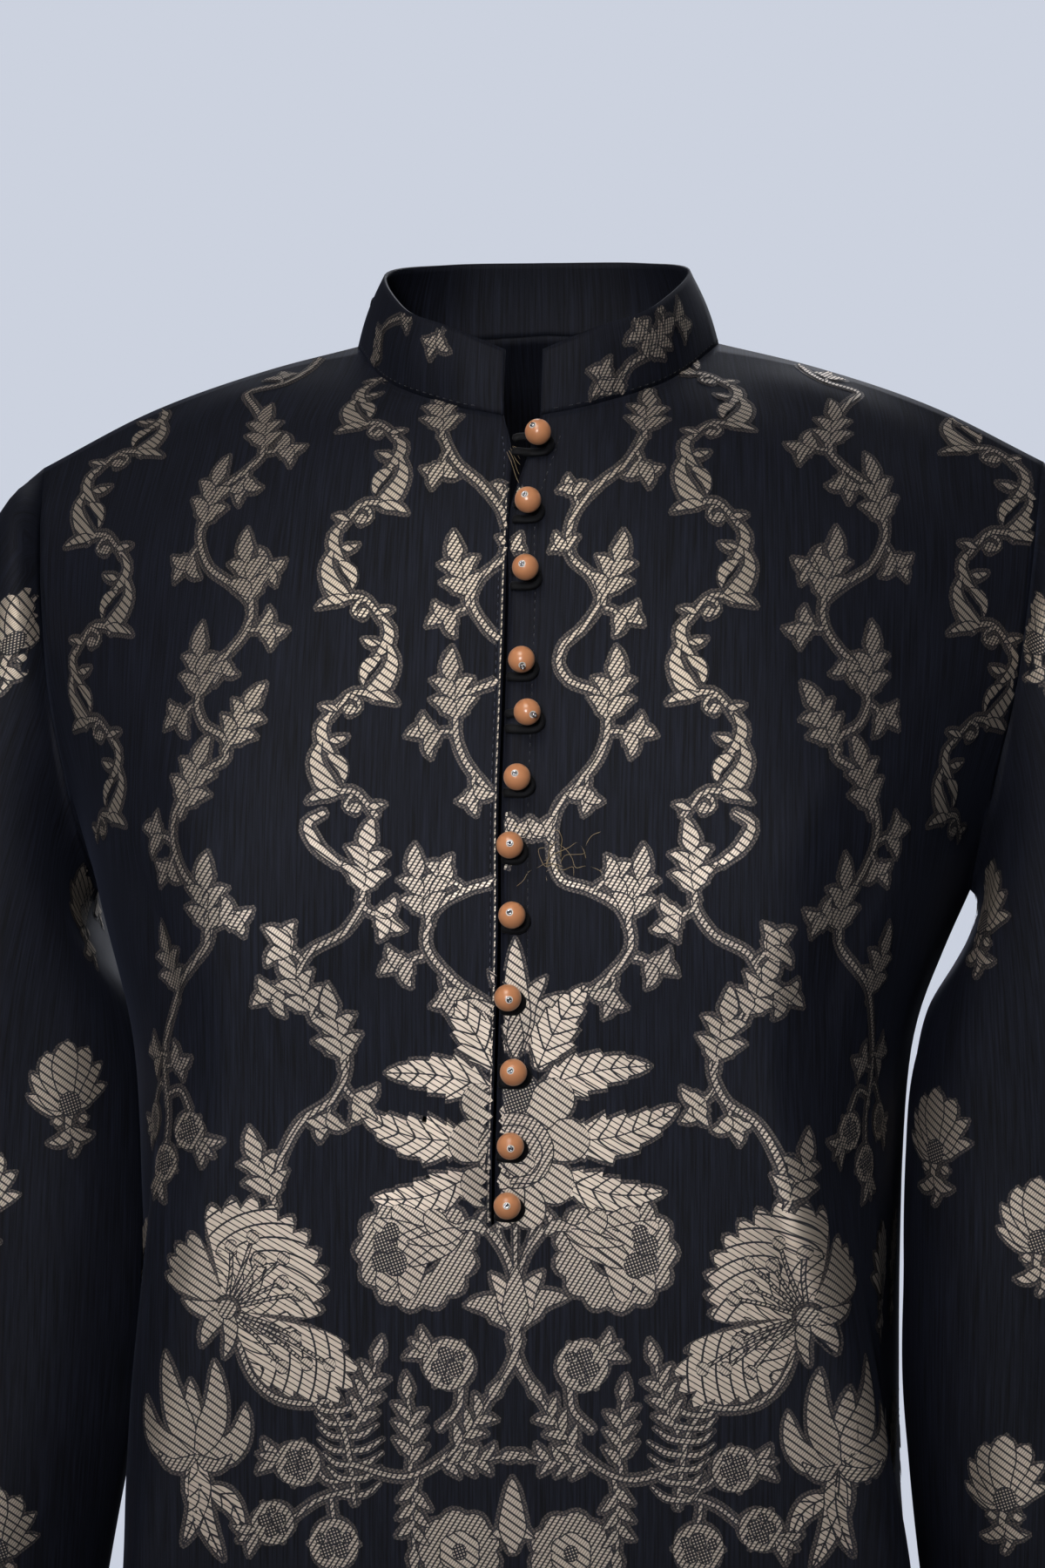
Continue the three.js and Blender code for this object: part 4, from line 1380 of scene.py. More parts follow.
def wing() -> Figure:
    """The large half flower at the side, about its knot, opening to the right."""
    f = Figure()
    f.fan((0, 0), (104, -6), [34, 39, 38, 36, 31], 10, 5.0)
    f.fan((0, 0), (-12, -66), [38, 50, 50, 38, 26], 7, 6.0)
    f.fan((0, 0), (160, 110), [22, 27, 28], 4, 5.0, STRIPE)
    f.leaf((0, 0), (-15, 3), 6, 0.1, STRIPE, 2)
    f.leaf((0, 0), (-9, -13), 6, -0.1, STRIPE, 2)
    f.leaf((0, 0), (-1, -17), 5, 0.1, STRIPE, 2)
    stamens = (
        (86, 22), (70, 27), (56, 21), (42, 27), (26, 22), (12, 26),
        (-22, 26), (-34, 34), (-46, 28), (-28, 41),
    )
    for angle, far in stamens:
        way = np.array([math.cos(math.radians(angle)), math.sin(math.radians(angle))])
        f.band([way * 5, way * far * 0.6 + np.array([0.6, 0.6]), way * far], [0.9, 0.8], HATCH, 3, 0.0)
        f.disc(way * far, 2.3, STRIPE, 4, 0.0)
    f.disc((0, 0), 3.4, HATCH, 5, 0.4)
    f.band([(4, -12), (9, -24), (17, -31), (27, -33), (36, -32)], [1.6, 1.6, 1.8], layer=1)
    return f


def fern() -> Figure:
    """A feathery spray that hangs from its top."""
    f = Figure()
    spine = trace([(-6, 20), (-1, 10), (1.5, -2), (3, -16)], 1.0)
    f.band([(-6, 20), (-1, 10), (1.5, -2), (3, -16)], [1.6, 1.7, 1.6, 1.2])
    for k in range(7):
        p = spine[4 + int(k * (len(spine) - 8) / 6)]
        far = 12.5 - abs(k - 3) * 1.1
        f.band([p, p + (far * 0.45, 0.6), p + (far, 4.6)], [1.7, 1.9, 0.5], layer=1, halo=0.8)
        f.band([p, p + (-far * 0.42, 0.2), p + (-far * 0.85, 4.0)], [1.7, 1.9, 0.5], layer=1, halo=0.8)
    return f


def spray() -> Figure:
    """A light leafy twig, pointing up."""
    pairs = 3
    f = Figure()
    tall = 6.4 * pairs + 7
    f.band([(0, 0), (1.2, tall * 0.5), (0, tall)], [1.5, 1.3, 1.0])
    for k in range(pairs):
        y = 3 + 6.2 * k
        f.leaf((0.6, y), (6.4, y + 5.6), 3.4, 0.1)
        f.leaf((0.4, y + 2.4), (-5.2, y + 8.2), 3.4, -0.1)
    f.leaf((0.2, tall - 1), (-0.4, tall + 8), 3.8, 0)
    return f


def lily() -> Figure:
    """A tall lily about the mouth of its cup."""
    f = Figure()
    for tip, width, bow in (
        ((-8, 34), 9, 0.05),
        ((9, 30), 10, -0.1),
        ((-17, 18), 9, 0.2),
        ((19, 14), 10, -0.25),
        ((0, 24), 8, 0.0),
    ):
        f.leaf((0, -4), tip, width, bow, STRIPE, 2, 1.4)
    f.leaf((0, -3), (-13, -1), 5, 0.3, HATCH, 3)
    f.leaf((0, -3), (13, -3), 5, -0.3, HATCH, 3)
    f.leaf((0, 0), (7, -40), 9, -0.08, VEIN, 2)
    f.leaf((0, -2), (-7, -34), 8, 0.1, VEIN, 2)
    f.leaf((2, -14), (15, -31), 7, 0.16, VEIN, 1)
    return f


def tri_lobe() -> Figure:
    """Small three-lobed flower with a long middle lobe."""
    f = Figure()
    f.leaf((0, -13), (0, 13), 9.5, 0, STRIPE, 3)
    f.leaf((-1, 2), (-8, -8), 5.5, 0.2, STRIPE, 2)
    f.leaf((1, 2), (8, -8), 5.5, -0.2, STRIPE, 2)
    return f


def lotus() -> Figure:
    """The small lotus strewn over the sleeves, about 30 by 40 mm."""
    f = Figure()
    for angle, far, wide, layer in (
        (90, 23, 9.5, 5),
        (68, 21, 8.5, 4),
        (112, 21, 8.5, 4),
        (44, 19, 8.5, 3),
        (136, 19, 8.5, 3),
        (18, 16, 7.0, 2),
        (162, 16, 7.0, 2),
    ):
        way = (far * math.cos(math.radians(angle)), far * math.sin(math.radians(angle)))
        f.leaf((0, -2), way, wide, 0.06, STRIPE, layer, 1.2, rounded if far > 20 else pointed)
    f.disc((0, 0), 4.2, FINE, 6, 0.4)
    f.band([(0, -3), (-1, -9), (2, -15), (0, -19)], [3.0, 2.2, 2.6, 1.0], STRIPE)
    f.leaf((0, -9), (-8.5, -13.5), 4.4, 0.2, STRIPE)
    f.leaf((0, -9), (8.5, -12.5), 4.4, -0.2, STRIPE)
    f.disc((-4.6, -6.0), 1.7, STRIPE)
    f.disc((4.8, -6.2), 1.7, STRIPE)
    return f


class LeafGroup(Enum):
    """The two groups of leaves that grow on a vine."""

    CLUSTER = "cluster"
    TREFOIL = "trefoil"


C, T = LeafGroup.CLUSTER, LeafGroup.TREFOIL


class Spot(NamedTuple):
    """A place on a vine where a leaf group grows."""

    kind: LeafGroup
    u: float
    v: float
    turn: float
    size: float = 1.0


INNER_VINE = (
    (-32, -12), (-30, -32), (-28, -40), (-24, -49), (-13, -59), (-5, -69), (-3, -77), (-4, -85),
    (-12, -93), (-15, -100), (-9, -111), (-2, -118), (-1, -124), (-4, -129), (-16, -135), (-19, -147),
    (-16, -157), (-9, -166), (-2, -174), (0, -187), (-3, -199), (-14, -203), (-25, -210), (-28, -222),
    (-20, -233), (-6, -243),
)
INNER_SPOTS = table(Spot, (
    (C, -29, -40, 4), (T, -26, -46, 165, 0.9), (T, -6, -66, -15, 0.7), (C, -16, -103, 15),
    (T, -17, -104, 120, 0.9), (T, -5, -86, -30, 0.7), (C, -19, -147, 6, 1.05),
    (T, -20, -148, 100), (T, -12, -163, 190, 0.85), (C, -27, -216, 12, 1.05),
    (T, -15, -203, 62), (T, -29, -226, 118), (T, -22, -233, 200, 0.9), (T, -1, -187, -40, 0.8),
))
OUTER_VINE = (
    (-92, 28), (-95.6, 12), (-102, 0), (-116, -8), (-107, -20), (-99, -34), (-99.8, -45.5), (-105, -51),
    (-118.7, -62), (-121, -74), (-115.6, -87), (-103.6, -95), (-95, -103), (-96, -111), (-101, -118),
    (-111.7, -128), (-113.7, -137), (-110, -145), (-100.5, -151), (-100, -157), (-107, -161),
    (-115.8, -170), (-120, -184), (-115, -197), (-106.5, -206), (-104.5, -221), (-112, -230),
    (-119, -237), (-125, -249), (-129, -264), (-126, -280),
)
OUTER_SPOTS = table(Spot, (
    (T, -103, -1, 20, 0.9), (C, -100, -45, 6, 1.05), (T, -99, -44, -75, 1.05),
    (T, -104, -50, 178, 0.9), (C, -121, -75, -10, 1.1), (T, -120, -80, 148),
    (C, -95, -104, 12, 1.1), (T, -99, -92, -62, 1.0), (T, -96, -111, -85, 0.95),
    (T, -102, -119, 165, 0.8), (C, -113.5, -139, 4, 1.1), (T, -114, -138, 128),
    (C, -101, -155, -28, 1.0), (C, -117, -178, -18, 1.1), (T, -121, -186, 80),
    (T, -118, -190, 150, 0.9), (C, -105, -221, 2, 1.1), (T, -104, -216, -62),
    (C, -121, -243, 16, 1.05), (T, -127, -262, 95), (T, -128, -266, -70, 0.9),
))
LOWER_VINE = (
    (-60, -193), (-53, -197), (-50, -206), (-56, -217), (-70, -226), (-73.5, -236), (-68, -245),
    (-60, -252), (-56, -263), (-60, -275), (-72, -284), (-79, -297), (-82, -312),
)
LOWER_SPOTS = table(Spot, (
    (C, -51, -207, -6, 1.05), (T, -50, -209, -112), (T, -71, -228, 55, 1.1),
    (T, -74, -236, 122), (C, -67, -249, 26, 1.0), (C, -57, -266, 12, 1.1), (T, -57, -272, -128),
    (T, -61, -277, 168, 0.9), (C, -81, -314, 20, 1.05),
))


SLEEVE_SEEN = {
    -1: ((61, -114, 8), (124, -284, 6), (92, -322, 0), (104, -448, 0), (139, -216, 0), (70, -226, 0)),
    1: ((-67, -115, -6), (-118, -217, -6), (-138, -300, -4), (-98, -331, 0), (-108, -424, 0), (-70, -226, 0)),
}


@dataclass
class Brocade:
    """The gold figures on one piece of cloth, mirrored about its middle."""

    middle: float = 3.2
    repeat: float = 245.0
    bouquet_v: float = -293.0
    scroll_step: float = 34.5
    lotus_step: float = 68.0

    def vine(self, path: Places, spots: Sequence[Spot], fill: Fill) -> Figure:
        """A winding stem with its leaf groups."""
        f = Figure()
        f.band(path, [2.0] * 3, HATCH, 1, 1.6)
        for s in spots:
            group = cluster() if s.kind is C else trefoil()
            for b in group.blades:
                b.fill = fill if b.layer > 1 else b.fill
            f.add(group, (s.u, s.v), s.turn, s.size)
        return f

    def bracket_vine(self, inner_u: float, outer_u: float, top: float, low: float) -> Figure:
        """The acanthus scroll from its top to its low end."""
        step = self.scroll_step
        f = Figure()
        v, out = top, False
        while v - step > low - 1:
            start = (outer_u if out else inner_u, v)
            end = (inner_u if out else outer_u, v - step)
            f.add(scroll(start, end))
            v -= step
            out = not out
        return f

    def side_vines(self) -> Figure:
        """All the vines of the left half."""
        f = self.vine(INNER_VINE, INNER_SPOTS, HATCH)
        f.add(self.bracket_vine(-46.0, -64.0, 30.0, -176.5))
        f.add(self.vine(LOWER_VINE, LOWER_SPOTS, STRIPE))
        f.band([(-64, -176), (-70, -180), (-67, -187), (-59, -194)], [1.6, 3.6, 2.0], STRIPE)
        f.add(self.vine(OUTER_VINE, OUTER_SPOTS, HATCH))
        f.add(self.bracket_vine(-158.0, -183.0, 56.0, -186.0))
        for u, v, turn in ((-124, -300, 160), (-138, -286, 110), (-113, -288, 230)):
            f.add(bud(6.6), (u, v), turn)
            f.band([(-126, -276), ((-126 + u) / 2 + 1, v + 14), (u, v + 7)], [1.4, 1.2], layer=1)
        return f

    def side_group(self) -> Figure:
        """The left half of the flowers about the bouquet, from its middle."""
        f = Figure()
        f.add(peony(), (-34.6, -36), 0)
        f.band([(-0.3, -46), (-4, -36), (-9.5, -28)], [1.8, 1.8, 2.4], layer=1)
        f.add(wing(), (-101.5, -57))
        f.add(lily(), (-113, -106), 4)
        f.add(fern(), (-59.5, -109))
        for u, v, r, turn in ((-76.5, -111, 8.0, 78), (-85.5, -132, 7.6, 118), (-63.8, -139, 8.8, 180)):
            f.add(bud(r), (u, v), turn)
        f.band([(-57, -120), (-64, -122), (-63.8, -131)], [1.5, 1.3], layer=1)
        f.band([(-57, -120), (-70, -124), (-78, -130)], [1.6, 1.3], layer=1)
        f.band([(-57.5, -116), (-66, -117), (-70, -113)], [1.5, 1.3], layer=1)
        f.add(spray(), (-57, -99), -18)
        low_stem = [(1.2, -66), (-0.8, -74), (-9.5, -88), (-19.5, -103), (-38, -115), (-58, -111)]
        f.band(low_stem, [2.6, 1.9, 1.7, 1.8], layer=1)
        f.add(spray(), (-24, -108), -36)
        f.add(spray(), (-37, -113), 2)
        f.add(spray(), (-28, -110), -84, 0.9)
        f.add(spray(), (-34.5, -115), 178, 1.0)
        f.add(bud(9.0), (-23.5, -75.6), 58)
        f.band([(-19, -83), (-20, -91), (-27, -98)], [2.0, 1.7], layer=1)
        f.add(rosette(), (-19.5, -141))
        return f

    def group(self) -> Figure:
        """The bouquet and all the flowers about it."""
        f = Figure()
        f.add(bouquet())
        side = self.side_group()
        f.add(side)
        f.add(side.mirrored(0))
        f.add(cup(), (0, -54))
        f.add(tri_lobe(), (-1, -128))
        return f

    def strewn(self, places: Iterable[Numbers]) -> Figure:
        """Small lotuses at the given places (u, v, turn)."""
        f = Figure()
        for u, v, turn in places:
            f.add(lotus(), (u, v), turn)
        return f

    def front(self) -> Figure:
        """The whole front."""
        f = self.side_vines()
        f.add(f.mirrored(8.0))
        self.lower(f)
        return f

    def collar(self) -> Figure:
        """The bits of vine that the collar's cut happened to catch."""
        f = Figure()
        f.band([(-153, -26), (-148, -18), (-139, -15), (-131, -8), (-121, -7)], [1.8, 1.8, 1.4])
        left = ((-152, -25, 60), (-149, -19, 140), (-139, -15, 20), (-132, -9, 95), (-127, -8, -10))
        for u, v, turn in left:
            f.add(trefoil(), (u, v), turn, 0.95)
        f.add(cluster(), (-142, -16), -70, 0.9)
        f.add(trefoil(), (-121, -7), -110)
        f.band([(128, -4), (119, -9), (112, -17)], [1.7, 1.4])
        for u, v, turn in ((118, -10, 150), (126, -5, -60), (112, -16, 200), (155, -1, 170)):
            f.add(trefoil(), (u, v), turn, 0.85)
        f.add(cluster(), (-24, -26), 40)
        f.add(trefoil(), (-10, -8), 10)
        f.add(cluster(), (62, -28), -50)
        f.add(trefoil(), (76, -9), 70)
        return f

    def sleeve(self, handed: int) -> Figure:
        """Lotuses strewn over a sleeve."""
        seen = SLEEVE_SEEN[handed]
        hidden = [
            (-handed * (-18 + 52 * column), -96.0 - 212 * row - (106 if column % 2 else 0), 0)
            for row in range(3)
            for column in range(4)
        ]
        low = [(-handed * (52 * column - 60), -535.0 - 30 * (column % 2), 0) for column in (-1, 0)]
        return self.strewn([*seen, *((-u, v, turn) for u, v, turn in hidden), *low])

    def back(self) -> Figure:
        """The whole back, alike but closed."""
        f = Figure()
        f.add(self.side_vines(), (-6, 0))
        f.add(f.mirrored(0))
        self.lower(f)
        return f

    def lower(self, f: Figure) -> None:
        """Adds the repeats of the flower group, and lotuses towards the sides."""
        group = self.group()
        for k in range(3):
            f.add(group, (self.middle, self.bouquet_v - k * self.repeat))
        for k in range(9):
            v = -345 - self.lotus_step * k
            shift = 18 if k % 2 else 0
            for side in (-1, 1):
                for out in (158, 204):
                    f.add(lotus(), (self.middle + side * (out + shift), v), 0, 1, side > 0)


# Cloth coordinates to places


@dataclass
class ClothMap:
    """Finds places on a finished cloth piece from its cloth coordinates."""

    piece: "ClothPiece"
    du: float = 1.0
    dv: float = 1.25

    def __post_init__(self) -> None:
        """Reads the cloth level by level at even steps."""
        grid, chart, rise = self.piece.grid, self.piece.chart, self.piece.rise
        table = np.concatenate([chart[..., :1], grid, grid_normals(grid)], axis=-1)
        self.low_v = float(rise.min())
        self.low_u = float(chart[..., 0].min())
        levels = np.arange(self.low_v, rise.max() + self.dv, self.dv)
        across = np.arange(self.low_u, chart[..., 0].max() + self.du, self.du)
        columns = np.stack(
            [
                np.stack([np.interp(-levels, -rise[:, c], table[:, c, a]) for a in range(7)], axis=-1)
                for c in range(rise.shape[1])
            ],
            axis=1,
        )
        inside = (levels[:, None] <= rise[0][None] + 0.01) & (levels[:, None] >= rise[-1][None] - 0.01)
        self.table = np.zeros((len(levels), len(across), 6))
        self.cloth = np.zeros((len(levels), len(across)), bool)
        for k in range(len(levels)):
            row = columns[k, inside[k]]
            if len(row) < 3:
                continue
            for a in range(6):
                self.table[k, :, a] = np.interp(across, row[:, 0], row[:, a + 1])
            self.cloth[k] = (across >= row[0, 0]) & (across <= row[-1, 0])

    def find(self, u: Array, v: Array) -> tuple[Array, Array, Array]:
        """Looks places up.

        Args:
            u: across the cloth.
            v: up the cloth.

        Returns:
            Points, outward directions, and whether the cloth reaches there.
        """
        x = (u - self.low_u) / self.du
        y = (v - self.low_v) / self.dv
        i = np.clip(np.floor(x).astype(int), 0, self.table.shape[1] - 2)
        k = np.clip(np.floor(y).astype(int), 0, self.table.shape[0] - 2)
        fx, fy = np.clip(x - i, 0, 1)[:, None], np.clip(y - k, 0, 1)[:, None]
        t = self.table
        here = t[k, i] * (1 - fx) + t[k, i + 1] * fx
        above = t[k + 1, i] * (1 - fx) + t[k + 1, i + 1] * fx
        mixed = here * (1 - fy) + above * fy
        on = self.cloth[k, i] & self.cloth[k, i + 1] & self.cloth[k + 1, i] & self.cloth[k + 1, i + 1]
        on &= (x >= 0) & (y >= 0) & (x <= t.shape[1] - 1) & (y <= t.shape[0] - 1)
        return mixed[:, :3], unit(mixed[:, 3:]), on


@dataclass
class Weaver:
    """Lays the figures of one cloth piece on it, one object for each binding."""

    piece: "ClothPiece"
    finishes: dict[Fill, Material]
    rim: float = 0.42
    lift: float = 0.3
    layer_lift: float = 0.1
    halo_lift: float = 0.12
    stagger: float = 0.004
    cell: float = 4.5
    halo_cell: float = 5.0

    def __post_init__(self) -> None:
        """Reads the cloth."""
        self.map = ClothMap(self.piece)

    def weave(self, figure: Figure) -> list[Mesh]:
        """Makes the objects of a figure.

        Args:
            figure: the strokes, in cloth millimetres.

        Returns:
            One object for each binding that is used.
        """
        made = []
        for fill in Fill:
            if fill is HALO:
                blades = [b for b in figure.blades if b.halo > 0]
            else:
                blades = [b for b in figure.blades if b.fill is fill]
            blades = [b for b in blades if self.reaches(b)]
            if blades:
                made.append(self.strips(blades, fill))
        return made

    def reaches(self, blade: Blade) -> bool:
        """True where some of the stroke lies on the cloth."""
        return bool(self.map.find(blade.spine[:, 0], blade.spine[:, 1])[2].any())

    def strips(self, blades: list[Blade], fill: Fill) -> Mesh:
        """Builds one object of strips, lays it on the cloth and cuts off what hangs past an edge."""
        is_halo = fill is HALO
        bm = bmesh.new()
        rib = bm.verts.layers.float_vector.new("rib")
        for number, blade in enumerate(blades):
            spread = blade.halo if is_halo else self.rim
            height = self.halo_lift if is_halo else self.lift + self.layer_lift * blade.layer
            # neighbours differ by a few microns, so that no two lie in one plane
            height += self.piece.thickness / 2 + self.stagger * (number % 9)
            places, ribs = blade.surface(spread, self.halo_cell if is_halo else self.cell)
            rows, count = places.shape[:2]
            made = bmesh.ops.create_grid(bm, x_segments=count - 1, y_segments=rows - 1, size=1.0)["verts"]
            for vert, place, value in zip(made, places.reshape(-1, 2).tolist(), ribs.reshape(-1, 3).tolist()):
                vert.co = (place[0], place[1], height)
                vert[rib] = value
        strips = sewn(f"{self.piece.name}_{fill.value}", bm, self.finishes[fill])
        mesh = strips.data
        flat = np.empty(len(mesh.vertices) * 3)
        mesh.vertices.foreach_get("co", flat)
        flat = flat.reshape(-1, 3)
        lay_uv(mesh, flat[:, :2] * MM)
        spots, normals, on = self.map.find(flat[:, 0], flat[:, 1])
        placed = (spots + normals * flat[:, 2:3]) * MM
        mesh.vertices.foreach_set("co", placed.astype(np.float32).ravel())
        on &= self.piece.beside_slit(flat[:, 0], flat[:, 1])
        self.trim(mesh, on, self.piece.left_of_slit(flat[:, 0], flat[:, 1]))
        return strips

    def trim(self, mesh: bpy.types.Mesh, on: Array, left: Array) -> None:
        """Takes out the cells off the cloth, and those that would bridge the slit."""
        bm = bmesh.new()
        bm.from_mesh(mesh)
        low = (self.piece.slit_low or 1e9) * MM
        gone = []
        for face in bm.faces:
            index = [v.index for v in face.verts]
            bridges = len({bool(left[i]) for i in index}) > 1 and face.verts[0].co.z > low
            if bridges or not all(on[i] for i in index):
                gone.append(face)
        bmesh.ops.delete(bm, geom=gone, context="FACES")
        bm.to_mesh(mesh)
        bm.free()


@dataclass
class Collar(ClothPiece):
    """The stand collar: v runs down from its upper edge, u round from the middle of the back."""

    thickness: float = 1.2

    def lay_heights(self) -> Array:
        """V at each point: the length down from the upper edge."""
        return -run_down(self.grid)

    def lay_chart(self) -> Array:
        """U and V at each point, U measured along the middle of the band."""
        run = run_down(self.grid[self.grid.shape[0] // 2])
        chart = np.empty(self.grid.shape[:2] + (2,))
        chart[..., 0] = run - run[-1] / 2
        chart[..., 1] = self.rise
        return chart


def add_cord(
    bm: Shape, path: Array, up: Array, wide: float, flat: float, around: int = 10
) -> None:
    """Adds a flattened round cord to a mesh.

    Args:
        bm: the mesh that takes it.
        path: its middle line, in millimetres.
        up: the direction of its flat sides at each point.
        wide: its half width.
        flat: its half thickness.
        around: corners of its cross-section.
    """
    along_path = unit(np.gradient(path, axis=0))
    side = unit(np.cross(along_path, up))
    raised = np.cross(side, along_path)
    made = bmesh.ops.create_grid(bm, x_segments=around, y_segments=len(path) - 1, size=1.0)["verts"]
    turn = np.linspace(0, 2 * math.pi, around + 1)
    ring = side[:, None] * (wide * np.cos(turn))[:, None] + raised[:, None] * (flat * np.sin(turn))[:, None]
    ring[[0, -1]] = 0.0
    spots = path[:, None] + ring
    for vert, spot in zip(made, spots.reshape(-1, 3) * MM):
        vert.co = spot
    bmesh.ops.remove_doubles(bm, verts=made, dist=1e-7)
    faces = {face for vert in made if vert.is_valid for face in vert.link_faces}
    bmesh.ops.recalc_face_normals(bm, faces=list(faces))


@dataclass
class Stitching:
    """A run of even hand-length stitches laid on the cloth."""

    name: str
    piece: ClothPiece
    cloth: ClothMap
    stitch: float = 2.1
    pitch: float = 3.0
    radius: float = 0.2
    height: float = 0.14

    def build(self, runs: Sequence[Places], thread: Material) -> Mesh:
        """Makes all the stitches.

        Args:
            runs: the lines to sew along, as places u, v.
            thread: the thread's material.

        Returns:
            One object with all of them.
        """
        bm = bmesh.new()
        for run in runs:
            line = trace(run, self.pitch)
            for spot, towards in zip(line, unit(np.gradient(line, axis=0))):
                flat = spot + towards * np.linspace(-0.5, 0.5, 3)[:, None] * self.stitch
                points, normals, on = self.cloth.find(flat[:, 0], flat[:, 1])
                if on.all():
                    lift = self.piece.thickness / 2 + self.height * np.array([-0.6, 1, -0.6])
                    add_cord(bm, points + normals * lift[:, None], normals, self.radius, self.radius, 6)
        return sewn(self.name, bm, thread)


@dataclass
class ButtonLoop:
    """A bias cord loop, sewn in at the slit's edge and lying flat round the foot of its pearl."""

    number: int
    cloth: ClothMap
    wide: float = 1.65
    flat: float = 0.95
    height: float = 1.7

    def build(self, material: Material) -> Mesh:
        """Makes the loop inside its CAD form's box."""
        node = f"button_loop_{self.number:02d}"
        low, high = (np.array(corner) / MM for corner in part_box(node))
        left, right = low[0] + 0.4, high[0] - 1.1
        top, bottom = high[2] - self.wide, low[2] + self.wide
        radius = (top - bottom) / 2
        middle = (top + bottom) / 2
        bow = right - radius
        turn = np.radians(np.linspace(90, -90, 13))
        line = np.concatenate(
            [
                [[left, top - 0.5], [left * 0.5 + bow * 0.5, top]],
                np.stack([bow + radius * np.cos(turn), middle + radius * np.sin(turn)], axis=1),
                [[left * 0.5 + bow * 0.5, bottom], [left, bottom + 0.5]],
            ]
        )
        line = trace(line, 0.7)
        front = low[1] + 1.1
        path = np.stack([line[:, 0], np.full(len(line), front), line[:, 1]], axis=1)
        u, v = self.cloth_place(path)
        points, normals = self.cloth.find(u, v)[:2]
        # sinks to the cloth where it is caught in the slit's edge
        rise = self.height * (0.55 + 0.45 * ease((line[:, 0] - left) / 2.5))
        bm = bmesh.new()
        add_cord(bm, points + normals * rise[:, None], normals, self.wide, self.flat, 12)
        made = sewn(f"loop_{self.number:02d}", bm, material)
        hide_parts(node)
        return made

    def cloth_place(self, path: Array) -> tuple[Array, Array]:
        """Cloth coordinates right under points before the front's middle."""
        u, v = path[:, 0].copy(), path[:, 2].copy()
        for _ in range(6):
            points = self.cloth.find(u, v)[0]
            u += path[:, 0] - points[:, 0]
            v += path[:, 2] - points[:, 2]
        return u, v


@dataclass
class PearlButton:
    """A drilled pearl with a white rim round its hole and a small silver bead in it, on a thread shank."""

    number: int
    hole_way: HoleWay
    bead_out: float = 0.1
    radius: float = 4.75
    hole: float = 0.85
    steps: int = 36

    def build(self, materials: Sequence[Material]) -> Mesh:
        """Makes the pearl at its CAD form's middle.

        Args:
            materials: pearl, white core, silver and thread.

        Returns:
            The finished pearl.
        """
        node = f"pearl_button_{self.number:02d}"
        low, high = (Vector(corner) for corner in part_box(node))
        middle = (low + high) / 2
        way = Vector((self.hole_way.x, -1.0, self.hole_way.z)).normalized()
        bm = bmesh.new()
        self.ball(bm)
        self.bead(bm)
        turn = way.to_track_quat("Z", "Y").to_matrix().to_4x4()
        bmesh.ops.transform(bm, matrix=turn, verts=bm.verts)
        bmesh.ops.scale(bm, vec=(MM, MM, MM), verts=bm.verts)
        bmesh.ops.translate(bm, vec=middle, verts=bm.verts)
        self.shank(bm, middle)
        bmesh.ops.recalc_face_normals(bm, faces=bm.faces)
        made = sewn(f"pearl_{self.number:02d}", bm, materials[0])
        for other in materials[1:]:
            made.data.materials.append(other)
        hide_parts(node)
        return made

    def ball(self, bm: Shape) -> None:
        """The drilled ball: a profile spun about the hole's line."""
        mouth = math.asin(self.hole / self.radius)
        rim = math.asin((self.hole + 0.45) / self.radius)
        angles = [mouth + 0.04, rim, *np.linspace(rim, math.pi - mouth, 22)[1:]]
        profile = [(self.hole, -2.0), (self.hole, self.radius * math.cos(mouth) - 0.15)]
        profile += [(self.radius * math.sin(a), self.radius * math.cos(a)) for a in angles]
        profile += [(self.hole, -2.0)]
        self.spun(bm, profile, lambda radius, height: 1 if radius < self.hole + 0.5 and height > 0 else 0)

    def bead(self, bm: Shape) -> None:
        """The seed bead in the hole's mouth."""
        turn = np.linspace(0, 2 * math.pi, 11)
        height = self.radius + self.bead_out
        profile = [(0.62 + 0.3 * math.cos(t), height + 0.32 * math.sin(t)) for t in turn]
        self.spun(bm, profile, lambda radius, height: 2)

    def spun(
        self, bm: Shape, profile: Sequence[tuple[float, float]], pick: Callable[[float, float], int]
    ) -> None:
        """Spins a profile of radius and height about the Z axis, and picks each face's material."""
        verts = [bm.verts.new((radius, 0, height)) for radius, height in profile]
        edges = [bm.edges.new(pair) for pair in zip(verts, verts[1:])]
        before = set(bm.faces)
        bmesh.ops.spin(
            bm,
            geom=[*verts, *edges],
            axis=(0, 0, 1),
            cent=(0, 0, 0),
            angle=2 * math.pi,
            steps=self.steps,
            use_merge=True,
        )
        for face in set(bm.faces) - before:
            centre = face.calc_center_median()
            face.material_index = pick(math.hypot(centre.x, centre.y), centre.z)
        bmesh.ops.remove_doubles(bm, verts=bm.verts, dist=1e-4)

    def shank(self, bm: Shape, middle: Vector) -> None:
        """The thread post between the pearl and the cloth."""
        made = bmesh.ops.create_cone(
            bm, cap_ends=True, segments=10, radius1=0.75 * MM, radius2=0.6 * MM, depth=4.6 * MM
        )["verts"]
        bmesh.ops.rotate(bm, matrix=Matrix.Rotation(math.pi / 2, 3, "X"), verts=made)
        bmesh.ops.translate(bm, vec=middle + Vector((0, 5.6 * MM, 0)), verts=made)
        for face in {f for v in made for f in v.link_faces}:
            face.material_index = 3


